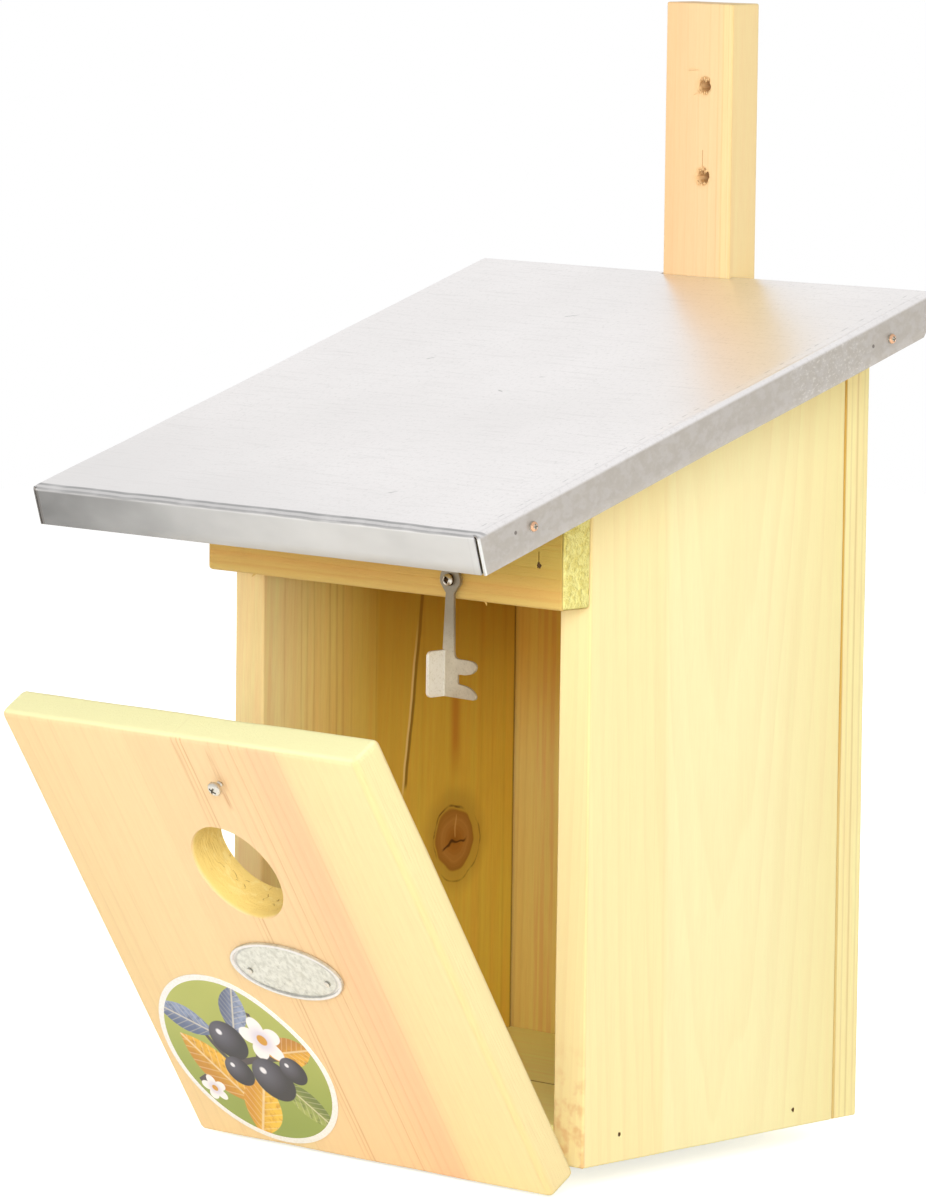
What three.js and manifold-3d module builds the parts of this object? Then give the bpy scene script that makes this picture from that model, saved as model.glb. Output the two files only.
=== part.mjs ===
// A wooden nest box for small birds: a case with a hinged front, a folded sheet roof and a hanging batten.
// Lengths are in millimetres. X runs to the right seen from the front, Y from the front to the back, Z up.
// Inside the frame group Y is 0 at the front edges of the side panels and Z is 0 at their lower ends.

import * as THREE from "three";
import { mergeVertices } from "three/addons/utils/BufferGeometryUtils.js";
import Module from "manifold-3d";

const wasm = await Module();
wasm.setup();

// Clearances, shared by all pieces.
const SEAT_GAP = 0.3; // between pieces that lie on each other on a slope or inside a turned group
const RUNNING_GAP = 0.2; // along a pivot, between pieces that turn on each other
const PIVOT_GAP = 0.1; // round a pivot, on the radius
const HOLE_GAP = 0.3; // around a nail or screw in its hole, on the radius
const JOINT_GAP = 0.4; // between two boards laid edge to edge
const OVERRUN = 2; // how far a cut runs past the surface that it opens
const MERGE_DISTANCE = 0.0001;

// The case.
const CASE_WIDTH = 142;
const SIDE_DEPTH = 111;
const SIDE_THICKNESS = 11.8;
const SIDE_FRONT_HEIGHT = 197.1; // at the front edge, where the roof lies on it
const BACK_THICKNESS = 10.8;
const FLOOR_THICKNESS = 11.2;
const FRONT_FLOOR_BOARD_DEPTH = 47.5;
const RAIL_THICKNESS = 11.8;
const RAIL_HEIGHT = 35.5; // of its rear face, which meets the sides

// The roof, which falls towards the front.
const ROOF_SLOPE_ANGLE = THREE.MathUtils.degToRad(16.9);
const ROOF_SIDE_OVERHANG = 17.5; // beyond each side of the case, before the offset
const ROOF_OVERHANG = 68.6; // along the slope, from the front edges of the sides to the front flange
const ROOF_BACK_OVERHANG = 1.3; // behind the back panel, with a notch round the batten
const ROOF_OFFSET = 2.8; // how far the roof sits to the right of the case's middle
const ROOF_BOARD_THICKNESS = 11;
const SHEET_THICKNESS = 0.7;
const FLANGE_HEIGHT = 11.9; // from the top of the sheet to the flange's lower edge
const FLANGE_CORNER_RADIUS = 3;
const CORNER_SLIT_WIDTH = 1;

// The batten behind the back panel, with two holes to hang the box by.
const BATTEN_WIDTH = 26.4;
const BATTEN_THICKNESS = 12.2;
const BATTEN_HEIGHT = 329;
const BATTEN_OFFSET = 2;
const HANGING_HOLE_RADIUS = 2;
const HANGING_HOLE_OFFSET = 2; // to the right of the batten's middle
const HANGING_HOLE_DROPS = [52.1, 24.8]; // below the batten's top

// The door, which closes against the front edges of the sides and turns on hinges at its foot.
const DOOR_THICKNESS = 11.5;
const DOOR_GAP = 1.3; // between the closed door and the front edges of the sides
const DOOR_LIFT = 2.8; // of the closed door's lower edge above the foot of the case
const DOOR_TOP_GAP = 1.4; // between the closed door and the rail above it
const DOOR_OPEN_ANGLE = THREE.MathUtils.degToRad(32);
const ENTRANCE_RADIUS = 16;
const ENTRANCE_DROP = 49; // of its middle below the door's top edge
const ENTRANCE_OFFSET = 0.4;

// The two hinges, screwed under the front floor board and to the back of the door.
const HINGE_LENGTH = 20;
const HINGE_INSET = 7.2; // from the inner face of a side to the end of the hinge
const LEAF_THICKNESS = 0.7;
const BARREL_RADIUS = 1.4;
const PIN_SETBACK = 4.2; // of the pin's axis behind the front edges of the sides
const PIN_DROP = 1.7; // of the pin's axis below the foot of the case
const FRAME_LEAF_DEPTH = 12; // behind the pin's axis
const DOOR_LEAF_RUN_RISE = 0.3; // of the door leaf's flat run above the pin's axis
const DOOR_LEAF_HEIGHT = 12; // above the pin's axis
const MIDDLE_KNUCKLE_LENGTH = 6.8;
const PIN_RADIUS = 0.6;
const HINGE_SCREW_SPACING = 12;
const FRAME_SCREW_SETBACK = 7.4; // behind the pin's axis
const DOOR_SCREW_RISE = 4.2; // above the door's lower edge

// The latch, a bent plate that hangs from a screw in the front rail.
const LATCH_X = 29.4;
const LATCH_RISE = 5.8; // of the pivot above the rail's lower edge
const LATCH_THICKNESS = 1;
const LATCH_STANDOFF = 0.4; // of the plate in front of the closed door
const EYE_RADIUS = 3.9;
const NECK_DROP = 3.9; // of the place where the eye has narrowed to the arm
const NECK_ANGLE = THREE.MathUtils.degToRad(18); // where the shoulders leave the eye, below its sides
const ARM_TOP_WIDTH = 3.1;
const ARM_FOOT_LEFT = 2.5; // from the pivot's line to the arm's left edge at the foot
const ARM_FOOT_RIGHT = 1.8;
const NOTCH_ROOT = 3.4; // from the pivot's line
const NOTCH_GAP = 0.45; // above and below the catch screw
const PRONG_REACH = 10.6;
const UPPER_PRONG_HEIGHT = 4.3;
const LOWER_PRONG_HEIGHT = 3.8;
const TAB_DEPTH = 6.8;
const TAB_HEIGHT = 13.4;
const TAB_CORNER_RADIUS = 1.6;
const SPACER_RADIUS = 3;
// The prongs' outlines, as shares of their length across and of their height from the notch outwards.
const LOWER_PRONG_SHARES = [
  [0.9, 1.04],
  [0.98, 0.95],
  [1, 0.8],
  [0.94, 0.62],
  [0.78, 0.38],
  [0.5, 0.1],
  [0.12, 0],
];
const UPPER_PRONG_SHARES = [
  [0.14, 0],
  [0.4, 0.05],
  [0.6, 0.16],
  [0.74, 0.28],
  [0.9, 0.46],
  [1, 0.66],
  [0.97, 0.82],
  [0.88, 0.9],
  [0.46, 0.95],
];

// The catch screw in the door's face.
const CATCH_OFFSET = 11.2;
const CATCH_DROP = 15.2; // below the door's top edge
const CATCH_STANDOFF = 2.2; // from the door's face to the underside of the head

// The metal badge and the paper picture on the door's face.
const BADGE_WIDTH = 44;
const BADGE_HEIGHT = 19.6;
const BADGE_THICKNESS = 0.6;
const BADGE_RIM_WIDTH = 1.2;
const BADGE_RIM_RISE = 0.4;
const BADGE_OFFSET = 2.8;
const BADGE_Z = 73.4;
const BADGE_NAIL_SPACING = 31;
const BADGE_NAIL_DROP = 2; // below the badge's middle
const LABEL_WIDTH = 66.4;
const LABEL_HEIGHT = 63.2;
const LABEL_THICKNESS = 0.25;
const LABEL_GAP = 0.1;
const LABEL_INSET = 4.4; // from the door's left edge
const LABEL_Z = 34.2;

// Nails and screws. A flat head is countersunk, and a pan head stands on the surface. The radius is the
// shank's, and the length is measured from the head's outer face, or on a pan head from its underside.
const CASE_NAIL = { shape: "nail", radius: 0.8, length: 28, tip: 2, headRadius: 1.6, headHeight: 0.7 };
const RAIL_NAIL = { shape: "nail", radius: 0.7, length: 26, tip: 2, headRadius: 1, headHeight: 0.8 };
const BADGE_NAIL = { shape: "nail", radius: 0.5, length: 8, tip: 1.2, headRadius: 1, headHeight: 0.4 };
const HINGE_SCREW = { shape: "flat", radius: 0.8, length: 8.5, tip: 1.6, headRadius: 1.5, headHeight: 0.6 };
const BATTEN_SCREW = { shape: "flat", radius: 1.4, length: 19, tip: 2.4, headRadius: 2.8, headHeight: 1.7 };
const FLANGE_SCREW = { shape: "pan", radius: 1.1, length: 11, tip: 1.6, headRadius: 1.75, headHeight: 1.1 };
const LATCH_SCREW = { shape: "pan", radius: 1.4, length: 12.5, tip: 1.8, headRadius: 2.3, headHeight: 1.6 };
const CATCH_SCREW = { shape: "pan", radius: 1, length: 11, tip: 1.6, headRadius: 2.2, headHeight: 1.6 };
const NAIL_SINK = 0.3; // of a nail's head below the wood's surface
const RECESS_WIDTH_SHARE = 0.26; // of a screw head's radius
const RECESS_LENGTH_SHARE = 1.1;
const RECESS_DEPTH_SHARE = 0.6; // of the head's height
const DOME_RIM_SHARE = 0.5; // of a pan head's height, up to where it starts to curve

// Where the nails and screws sit.
const FLOOR_NAIL_FRONT_INSET = 15.9; // from the front edges of the sides
const FLOOR_NAIL_REAR_INSET = 18.1; // from the rear edges of the sides
const FLOOR_NAIL_FRONT_Z = 8.2;
const FLOOR_NAIL_REAR_Z = 5.2;
const BACK_NAIL_LOW_INSET = 22; // from the foot of the case
const BACK_NAIL_HIGH_INSET = 26.8; // from the top of the sides at the rear
const RAIL_NAIL_INSET = 9.5; // from the side of the case
const RAIL_NAIL_HEIGHT = 12.4; // above the rail's lower edge
const ROOF_NAIL_FRONT_INSET = 18; // along the slope, from the front edges of the sides
const ROOF_NAIL_REAR_INSET = 22; // along the slope, from the rear edges of the sides
const FLANGE_SCREW_FRONT_INSET = 21.6; // along the slope, from the front flange
const FLANGE_SCREW_FRONT_DROP = 5.5; // below the top of the sheet
const FLANGE_SCREW_REAR_INSET = 18.6; // along the slope, from the roof's back edge
const FLANGE_SCREW_REAR_DROP = 7.1;
const BATTEN_SCREW_LOW_INSET = 38; // from the batten's foot
const BATTEN_SCREW_HIGH_INSET = 44.8; // from the top of the sides at the rear

// Counts of sides and steps.
const NAIL_SIDES = 8;
const SCREW_SIDES = 12;
const BARREL_SIDES = 14;
const HOLE_SIDES = 16;
const ENTRANCE_SIDES = 40;
const ARC_STEPS = 8;
const OVAL_STEPS = 24;
const DOME_STEPS = 2;

// Values worked out from those above.
const SIDES = [
  { side: "left", sign: -1 },
  { side: "right", sign: 1 },
];
const HALF_CASE = CASE_WIDTH / 2;
const INNER_HALF = HALF_CASE - SIDE_THICKNESS;
const CASE_BACK = SIDE_DEPTH + BACK_THICKNESS;
const WALL_FACE = CASE_BACK + BATTEN_THICKNESS;
const HANGING_HOLE_HEIGHTS = HANGING_HOLE_DROPS.map((drop) => BATTEN_HEIGHT - drop);
const MOUNT_HEIGHT = (HANGING_HOLE_HEIGHTS[0] + HANGING_HOLE_HEIGHTS[1]) / 2;
const RAIL_LOWER_EDGE = SIDE_FRONT_HEIGHT - RAIL_HEIGHT;
const SIDE_REAR_HEIGHT = SIDE_FRONT_HEIGHT + SIDE_DEPTH * Math.tan(ROOF_SLOPE_ANGLE);
const ROOF_WIDTH = CASE_WIDTH + 2 * ROOF_SIDE_OVERHANG;
const HINGE_SPACING = 2 * (INNER_HALF - HINGE_INSET) - HINGE_LENGTH; // between the hinges' middles
const ALONG = { y: Math.cos(ROOF_SLOPE_ANGLE), z: Math.sin(ROOF_SLOPE_ANGLE) };
const DOOR_FACE = DOOR_GAP + DOOR_THICKNESS; // in front of the case, when the door is closed
const DOOR_HEIGHT = RAIL_LOWER_EDGE - DOOR_TOP_GAP - DOOR_LIFT;
const ROOF_BACK = CASE_BACK + ROOF_BACK_OVERHANG;
const DOOR_FOOT = DOOR_LIFT + PIN_DROP; // above the pin's axis, when the door is closed
const DOOR_BACK_Y = -DOOR_GAP - PIN_SETBACK; // from the pin's axis to the closed door's back
const DOOR_LEAF_FACE = DOOR_BACK_Y + SEAT_GAP + LEAF_THICKNESS; // of the upright run, where its screws sit
const DOOR_FRONT_Y = DOOR_BACK_Y - DOOR_THICKNESS;
const LATCH_BACK = DOOR_FACE + LATCH_STANDOFF;
const LATCH_FRONT = LATCH_BACK + LATCH_THICKNESS;
const LATCH_Z = RAIL_LOWER_EDGE + LATCH_RISE;
const CATCH_HEIGHT = DOOR_HEIGHT - CATCH_DROP;
const CATCH_REACH = Math.hypot(LATCH_X - CATCH_OFFSET, LATCH_Z - DOOR_LIFT - CATCH_HEIGHT);
const LABEL_OFFSET = LABEL_INSET + LABEL_WIDTH / 2 - HALF_CASE;

const wood = (colour) => new THREE.MeshStandardMaterial({ color: colour, roughness: 0.75, metalness: 0 });
const metal = (colour, roughness) =>
  new THREE.MeshStandardMaterial({ color: colour, roughness, metalness: 1 });
const MATERIALS = {
  paleWood: wood(0xf6e2ae),
  doorWood: wood(0xfad9a2),
  goldenWood: wood(0xd0a45a),
  sheet: metal(0xd9d8d5, 0.35),
  zinc: metal(0xc4c2bb, 0.3),
  steel: metal(0x9c9a94, 0.4),
  copper: metal(0xc88d62, 0.35),
  badge: metal(0xc9cac9, 0.4),
  label: new THREE.MeshStandardMaterial({ color: 0x8f9a6a, roughness: 0.45, metalness: 0 }),
};

// A closed geometry as a solid that can be joined and cut.
function solidOf(geometry) {
  geometry.deleteAttribute("normal");
  geometry.deleteAttribute("uv");
  const merged = mergeVertices(geometry, MERGE_DISTANCE);
  return new wasm.Manifold(
    new wasm.Mesh({
      numProp: 3,
      vertProperties: merged.attributes.position.array,
      triVerts: new Uint32Array(merged.index.array),
    }),
  );
}

function geometryOf(solid) {
  const mesh = solid.getMesh();
  const geometry = new THREE.BufferGeometry();
  geometry.setAttribute("position", new THREE.BufferAttribute(mesh.vertProperties, mesh.numProp));
  geometry.setIndex(new THREE.BufferAttribute(mesh.triVerts, 1));
  geometry.computeVertexNormals();
  return geometry;
}

function piece(name, solid, material, group) {
  const mesh = new THREE.Mesh(geometryOf(solid), material);
  mesh.name = name;
  group.add(mesh);
  return mesh;
}

const cutBy = (solid, cutters) => cutters.reduce((left, cutter) => left.subtract(cutter), solid);
const joined = (solids) => solids.reduce((sum, solid) => sum.add(solid));

// A box between two corners.
function block(low, high) {
  const size = high.map((value, axis) => value - low[axis]);
  const middle = high.map((value, axis) => (value + low[axis]) / 2);
  return solidOf(new THREE.BoxGeometry(...size).translate(...middle));
}

function extruded(shape, depth, basis, steps = ARC_STEPS) {
  const geometry = new THREE.ExtrudeGeometry(shape, { depth, bevelEnabled: false, curveSegments: steps });
  return solidOf(geometry.applyMatrix4(basis));
}

// An outline drawn in Y and Z, filled from x = low to x = high.
function acrossX(shape, low, high) {
  const basis = new THREE.Matrix4().makeBasis(
    new THREE.Vector3(0, 1, 0),
    new THREE.Vector3(0, 0, 1),
    new THREE.Vector3(1, 0, 0),
  );
  return extruded(shape, high - low, basis.setPosition(low, 0, 0));
}

// An outline drawn in X and Z, filled forwards from y = back by the depth.
function forwards(shape, back, depth, steps = ARC_STEPS) {
  const basis = new THREE.Matrix4().makeBasis(
    new THREE.Vector3(1, 0, 0),
    new THREE.Vector3(0, 0, 1),
    new THREE.Vector3(0, -1, 0),
  );
  return extruded(shape, depth, basis.setPosition(0, back, 0), steps);
}

const polygon = (points) => new THREE.Shape(points.map(([a, b]) => new THREE.Vector2(a, b)));

// The matrix that puts a fastener's head at a point, with the head facing outwards.
function aimed(at, out) {
  const turn = new THREE.Quaternion().setFromUnitVectors(new THREE.Vector3(0, 1, 0), out);
  return new THREE.Matrix4().compose(at, turn, new THREE.Vector3(1, 1, 1));
}

function turned(profile, sides) {
  return new THREE.LatheGeometry(profile.map(([radius, height]) => new THREE.Vector2(radius, height)), sides);
}

// A fastener's outline from its tip to its head.
function fastenerProfile(kind) {
  const { radius, length, tip, headRadius, headHeight } = kind;
  const shank = [
    [0, -length],
    [radius, tip - length],
  ];
  if (kind.shape === "nail")
    return [...shank, [radius, -headHeight], [headRadius, -headHeight], [headRadius, 0], [0, 0]];
  if (kind.shape === "flat") return [...shank, [radius, -headHeight], [headRadius, 0], [0, 0]];
  const dome = [];
  for (let step = 0; step <= DOME_STEPS; step++) {
    const angle = ((step / DOME_STEPS) * Math.PI) / 2;
    const rise = headHeight * (DOME_RIM_SHARE + (1 - DOME_RIM_SHARE) * Math.sin(angle));
    dome.push([headRadius * Math.cos(angle), rise]);
  }
  return [...shank, [radius, 0], [headRadius, 0], ...dome];
}

// The outline of the hole that a fastener sits in, a little wider and open at the surface.
function holeProfile(kind) {
  const { radius, length, tip, headRadius, headHeight } = kind;
  const bore = radius + HOLE_GAP;
  const wide = headRadius + HOLE_GAP;
  const shank = [
    [0, -length - HOLE_GAP],
    [bore, tip - length - HOLE_GAP],
  ];
  if (kind.shape === "nail") {
    const seat = -headHeight - HOLE_GAP;
    return [...shank, [bore, seat], [wide, seat], [wide, OVERRUN], [0, OVERRUN]];
  }
  if (kind.shape === "flat")
    return [...shank, [bore, -headHeight], [wide, 0], [wide, OVERRUN], [0, OVERRUN]];
  return [...shank, [bore, OVERRUN], [0, OVERRUN]];
}

const sidesOf = (kind) => (kind.shape === "nail" ? NAIL_SIDES : SCREW_SIDES);

// A cross-shaped recess for the driver in a screw's head.
function recess(kind) {
  const top = kind.shape === "pan" ? kind.headHeight : 0;
  const width = kind.headRadius * RECESS_WIDTH_SHARE;
  const length = kind.headRadius * RECESS_LENGTH_SHARE;
  const floor = top - kind.headHeight * RECESS_DEPTH_SHARE;
  return [
    block([-width / 2, floor, -length / 2], [width / 2, top + OVERRUN, length / 2]),
    block([-length / 2, floor, -width / 2], [length / 2, top + OVERRUN, width / 2]),
  ];
}

function fastenerSolid(kind) {
  const body = solidOf(turned(fastenerProfile(kind), sidesOf(kind)));
  return kind.shape === "nail" ? body : cutBy(body, recess(kind));
}

const holeFor = ({ kind, at, out }) =>
  solidOf(turned(holeProfile(kind), sidesOf(kind)).applyMatrix4(aimed(at, out)));

function addFastener({ name, kind, at, out }, material, group) {
  const mesh = piece(name, fastenerSolid(kind), material, group);
  mesh.applyMatrix4(aimed(at, out));
  return mesh;
}

// A round bar along X, used for the hinge's barrel, pin and bore.
function barAlongX(radius, low, high, sides = BARREL_SIDES) {
  const bar = new THREE.CylinderGeometry(radius, radius, high - low, sides);
  return solidOf(bar.rotateZ(Math.PI / 2).translate((low + high) / 2, 0, 0));
}

// A round bar along Y, used for round holes through boards and plates.
function barAlongY(radius, low, high, x, z, sides = HOLE_SIDES) {
  const bar = new THREE.CylinderGeometry(radius, radius, high - low, sides);
  return solidOf(bar.translate(x, (low + high) / 2, z));
}

// A point of the roof: along the slope from the front edges of the sides, and up from the roof's underside.
function roofPoint(along, up) {
  return [along * ALONG.y - up * ALONG.z, SIDE_FRONT_HEIGHT + along * ALONG.z + up * ALONG.y];
}

// How far along the slope an upright plane at y lies, at a height above the roof's underside.
const alongTo = (y, up) => (y + up * ALONG.z) / ALONG.y;

// The places of all nails and screws in the case.
function caseFasteners() {
  const floor = [];
  const back = [];
  const rail = [];
  const roof = [];
  const flange = [];
  const right = new THREE.Vector3(1, 0, 0);
  const behind = new THREE.Vector3(0, 1, 0);
  const upwards = new THREE.Vector3(0, -ALONG.z, ALONG.y);
  const floorNailPlaces = [
    ["front", FLOOR_NAIL_FRONT_INSET, FLOOR_NAIL_FRONT_Z],
    ["rear", SIDE_DEPTH - FLOOR_NAIL_REAR_INSET, FLOOR_NAIL_REAR_Z],
  ];
  const backNailHigh = SIDE_REAR_HEIGHT - BACK_NAIL_HIGH_INSET;
  const backNailPlaces = [
    ["low", BACK_NAIL_LOW_INSET],
    ["mid", (BACK_NAIL_LOW_INSET + backNailHigh) / 2],
    ["high", backNailHigh],
  ];
  const roofNailPlaces = [
    ["front", ROOF_NAIL_FRONT_INSET],
    ["rear", alongTo(SIDE_DEPTH, 0) - ROOF_NAIL_REAR_INSET],
  ];
  const [flangeUpFront, flangeUpRear] = [FLANGE_SCREW_FRONT_DROP, FLANGE_SCREW_REAR_DROP].map(
    (drop) => roofTop() - drop,
  );
  const flangeScrewPlaces = [
    ["front", FLANGE_SCREW_FRONT_INSET - ROOF_OVERHANG, flangeUpFront],
    ["rear", alongTo(ROOF_BACK, flangeUpRear) - FLANGE_SCREW_REAR_INSET, flangeUpRear],
  ];
  for (const { side, sign } of SIDES) {
    const sidewards = right.clone().multiplyScalar(sign);
    for (const [place, y, z] of floorNailPlaces) {
      const at = new THREE.Vector3(sign * (HALF_CASE - NAIL_SINK), y, z);
      floor.push({ name: `floor_nail_${side}_${place}`, kind: CASE_NAIL, at, out: sidewards, side });
    }
    for (const [place, z] of backNailPlaces) {
      const at = new THREE.Vector3(sign * (HALF_CASE - SIDE_THICKNESS / 2), CASE_BACK - NAIL_SINK, z);
      back.push({ name: `back_nail_${side}_${place}`, kind: CASE_NAIL, at, out: behind, side });
    }
    const railX = sign * (HALF_CASE - RAIL_NAIL_INSET);
    const railAt = new THREE.Vector3(railX, NAIL_SINK - RAIL_THICKNESS, RAIL_LOWER_EDGE + RAIL_NAIL_HEIGHT);
    rail.push({ name: `rail_nail_${side}`, kind: RAIL_NAIL, at: railAt, out: behind.clone().negate(), side });
    for (const [place, along] of roofNailPlaces) {
      const [y, z] = roofPoint(along, SEAT_GAP + ROOF_BOARD_THICKNESS - NAIL_SINK);
      const at = new THREE.Vector3(sign * (HALF_CASE - SIDE_THICKNESS / 2), y, z);
      roof.push({ name: `roof_nail_${side}_${place}`, kind: CASE_NAIL, at, out: upwards, side });
    }
    for (const [place, along, up] of flangeScrewPlaces) {
      const [y, z] = roofPoint(along, up);
      const at = new THREE.Vector3(ROOF_OFFSET + (sign * ROOF_WIDTH) / 2, y, z);
      flange.push({ name: `flange_screw_${side}_${place}`, kind: FLANGE_SCREW, at, out: sidewards, side });
    }
  }
  const battenScrewPlaces = [
    ["low", BATTEN_SCREW_LOW_INSET],
    ["high", SIDE_REAR_HEIGHT - BATTEN_SCREW_HIGH_INSET],
  ];
  const batten = battenScrewPlaces.map(([place, z]) => ({
    name: `batten_screw_${place}`,
    kind: BATTEN_SCREW,
    at: new THREE.Vector3(BATTEN_OFFSET, WALL_FACE - NAIL_SINK, z),
    out: behind,
  }));
  return { floor, back, rail, roof, flange, batten };
}

// The top of the sheet above the roof's underside, which is where the sides end.
function roofTop() {
  return SEAT_GAP + ROOF_BOARD_THICKNESS + SEAT_GAP + SHEET_THICKNESS;
}

const holes = (fasteners) => fasteners.map(holeFor);
const onSide = (fasteners, side) => fasteners.filter((fastener) => fastener.side === side);

function addSidePanels(group, fasteners) {
  const { floor, back, rail, roof } = fasteners;
  const outline = polygon([[0, 0], [SIDE_DEPTH, 0], roofPoint(alongTo(SIDE_DEPTH, 0), 0), roofPoint(0, 0)]);
  for (const { side, sign } of SIDES) {
    const [low, high] = [sign * INNER_HALF, sign * HALF_CASE].sort((a, b) => a - b);
    const board = acrossX(outline, low, high);
    const cutters = [floor, back, rail, roof].flatMap((list) => holes(onSide(list, side)));
    piece(`${side}_side_panel`, cutBy(board, cutters), MATERIALS.paleWood, group);
  }
}

function addBackPanel(group, fasteners) {
  const outline = polygon([
    [SIDE_DEPTH, 0],
    [CASE_BACK, 0],
    roofPoint(alongTo(CASE_BACK, 0), 0),
    roofPoint(alongTo(SIDE_DEPTH, 0), 0),
  ]);
  const board = acrossX(outline, -HALF_CASE, HALF_CASE);
  const cutters = holes([...fasteners.back, ...fasteners.batten]);
  piece("back_panel", cutBy(board, cutters), MATERIALS.goldenWood, group);
}

// The floor between the sides, in two boards laid edge to edge.
function addFloor(group, fasteners) {
  const cutters = holes(fasteners.floor);
  const frameScrews = hingeScrews("frame").map(holeFor);
  const boards = [
    { name: "floor_front_board", front: 0, back: FRONT_FLOOR_BOARD_DEPTH },
    { name: "floor_rear_board", front: FRONT_FLOOR_BOARD_DEPTH + JOINT_GAP, back: SIDE_DEPTH },
  ];
  for (const { name, front, back } of boards) {
    const board = block([-INNER_HALF, front, 0], [INNER_HALF, back, FLOOR_THICKNESS]);
    piece(name, cutBy(board, [...cutters, ...frameScrews]), MATERIALS.goldenWood, group);
  }
}

// The rail across the front edges of the sides, above the door, cut to the roof's slope.
function addFrontRail(group, fasteners) {
  const outline = polygon([
    [-RAIL_THICKNESS, RAIL_LOWER_EDGE],
    [0, RAIL_LOWER_EDGE],
    roofPoint(0, 0),
    roofPoint(alongTo(-RAIL_THICKNESS, 0), 0),
  ]);
  const board = acrossX(outline, -HALF_CASE, HALF_CASE);
  const cutters = [...holes(fasteners.rail), holeFor(latchScrew())];
  piece("front_rail", cutBy(board, cutters), MATERIALS.goldenWood, group);
}

// An outline of the roof between two heights above its underside, with the back cut upright.
function roofOutline(front, low, high) {
  return polygon([
    roofPoint(front, low),
    roofPoint(alongTo(ROOF_BACK, low), low),
    roofPoint(alongTo(ROOF_BACK, high), high),
    roofPoint(front, high),
  ]);
}

// The notch in the roof's back edge that the batten stands in.
function battenNotch() {
  const half = BATTEN_WIDTH / 2 + SEAT_GAP;
  const low = [BATTEN_OFFSET - half, CASE_BACK, SIDE_FRONT_HEIGHT];
  return block(low, [BATTEN_OFFSET + half, ROOF_BACK + OVERRUN, BATTEN_HEIGHT]);
}

function addRoofBoard(group, fasteners) {
  const half = ROOF_WIDTH / 2 - SHEET_THICKNESS - SEAT_GAP;
  const front = -ROOF_OVERHANG + SHEET_THICKNESS + SEAT_GAP;
  const outline = roofOutline(front, SEAT_GAP, SEAT_GAP + ROOF_BOARD_THICKNESS);
  const board = acrossX(outline, ROOF_OFFSET - half, ROOF_OFFSET + half);
  const cutters = [battenNotch(), ...holes([...fasteners.roof, ...fasteners.flange])];
  piece("roof_board", cutBy(board, cutters), MATERIALS.paleWood, group);
}

// The side flange's outline: the roof's own, with the lower corner at the back rounded.
function flangeOutline(low, high) {
  const reach = FLANGE_CORNER_RADIUS;
  const shape = new THREE.Shape();
  const corner = roofPoint(alongTo(ROOF_BACK, low), low);
  shape.moveTo(...roofPoint(-ROOF_OVERHANG, low));
  shape.lineTo(...roofPoint(alongTo(ROOF_BACK, low) - reach, low));
  shape.quadraticCurveTo(...corner, corner[0], corner[1] + reach);
  shape.lineTo(...roofPoint(alongTo(ROOF_BACK, high), high));
  shape.lineTo(...roofPoint(-ROOF_OVERHANG, high));
  return shape;
}

// The folded sheet: a top with flanges down the front and both sides, slit where the flanges meet.
function addRoofSheet(group, fasteners) {
  const half = ROOF_WIDTH / 2;
  const inner = half - SHEET_THICKNESS;
  const [low, high] = [roofTop() - FLANGE_HEIGHT, roofTop()];
  const below = high - SHEET_THICKNESS;
  const whole = acrossX(flangeOutline(low, high), ROOF_OFFSET - half, ROOF_OFFSET + half);
  const hollow = polygon([
    roofPoint(-ROOF_OVERHANG + SHEET_THICKNESS, low - OVERRUN),
    roofPoint(alongTo(ROOF_BACK, low) + OVERRUN, low - OVERRUN),
    roofPoint(alongTo(ROOF_BACK, below) + OVERRUN, below),
    roofPoint(-ROOF_OVERHANG + SHEET_THICKNESS, below),
  ]);
  const slit = polygon([
    roofPoint(-ROOF_OVERHANG - OVERRUN, low - OVERRUN),
    roofPoint(-ROOF_OVERHANG + SHEET_THICKNESS + OVERRUN, low - OVERRUN),
    roofPoint(-ROOF_OVERHANG + SHEET_THICKNESS + OVERRUN, below),
    roofPoint(-ROOF_OVERHANG - OVERRUN, below),
  ]);
  const cutters = [battenNotch(), acrossX(hollow, ROOF_OFFSET - inner, ROOF_OFFSET + inner)];
  for (const { sign } of SIDES) {
    const edges = [sign * inner, sign * (inner - CORNER_SLIT_WIDTH)].sort((a, b) => a - b);
    cutters.push(acrossX(slit, ROOF_OFFSET + edges[0], ROOF_OFFSET + edges[1]));
  }
  piece("roof_sheet", cutBy(whole, [...cutters, ...holes(fasteners.flange)]), MATERIALS.sheet, group);
}

function addBatten(group, fasteners) {
  const half = BATTEN_WIDTH / 2;
  const board = block([BATTEN_OFFSET - half, CASE_BACK, 0], [BATTEN_OFFSET + half, WALL_FACE, BATTEN_HEIGHT]);
  const x = BATTEN_OFFSET + HANGING_HOLE_OFFSET;
  const through = HANGING_HOLE_HEIGHTS.map((z) =>
    barAlongY(HANGING_HOLE_RADIUS, CASE_BACK - OVERRUN, WALL_FACE + OVERRUN, x, z),
  );
  const cutters = [...through, ...holes(fasteners.batten)];
  piece("hanging_batten", cutBy(board, cutters), MATERIALS.doorWood, group);
}

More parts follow.
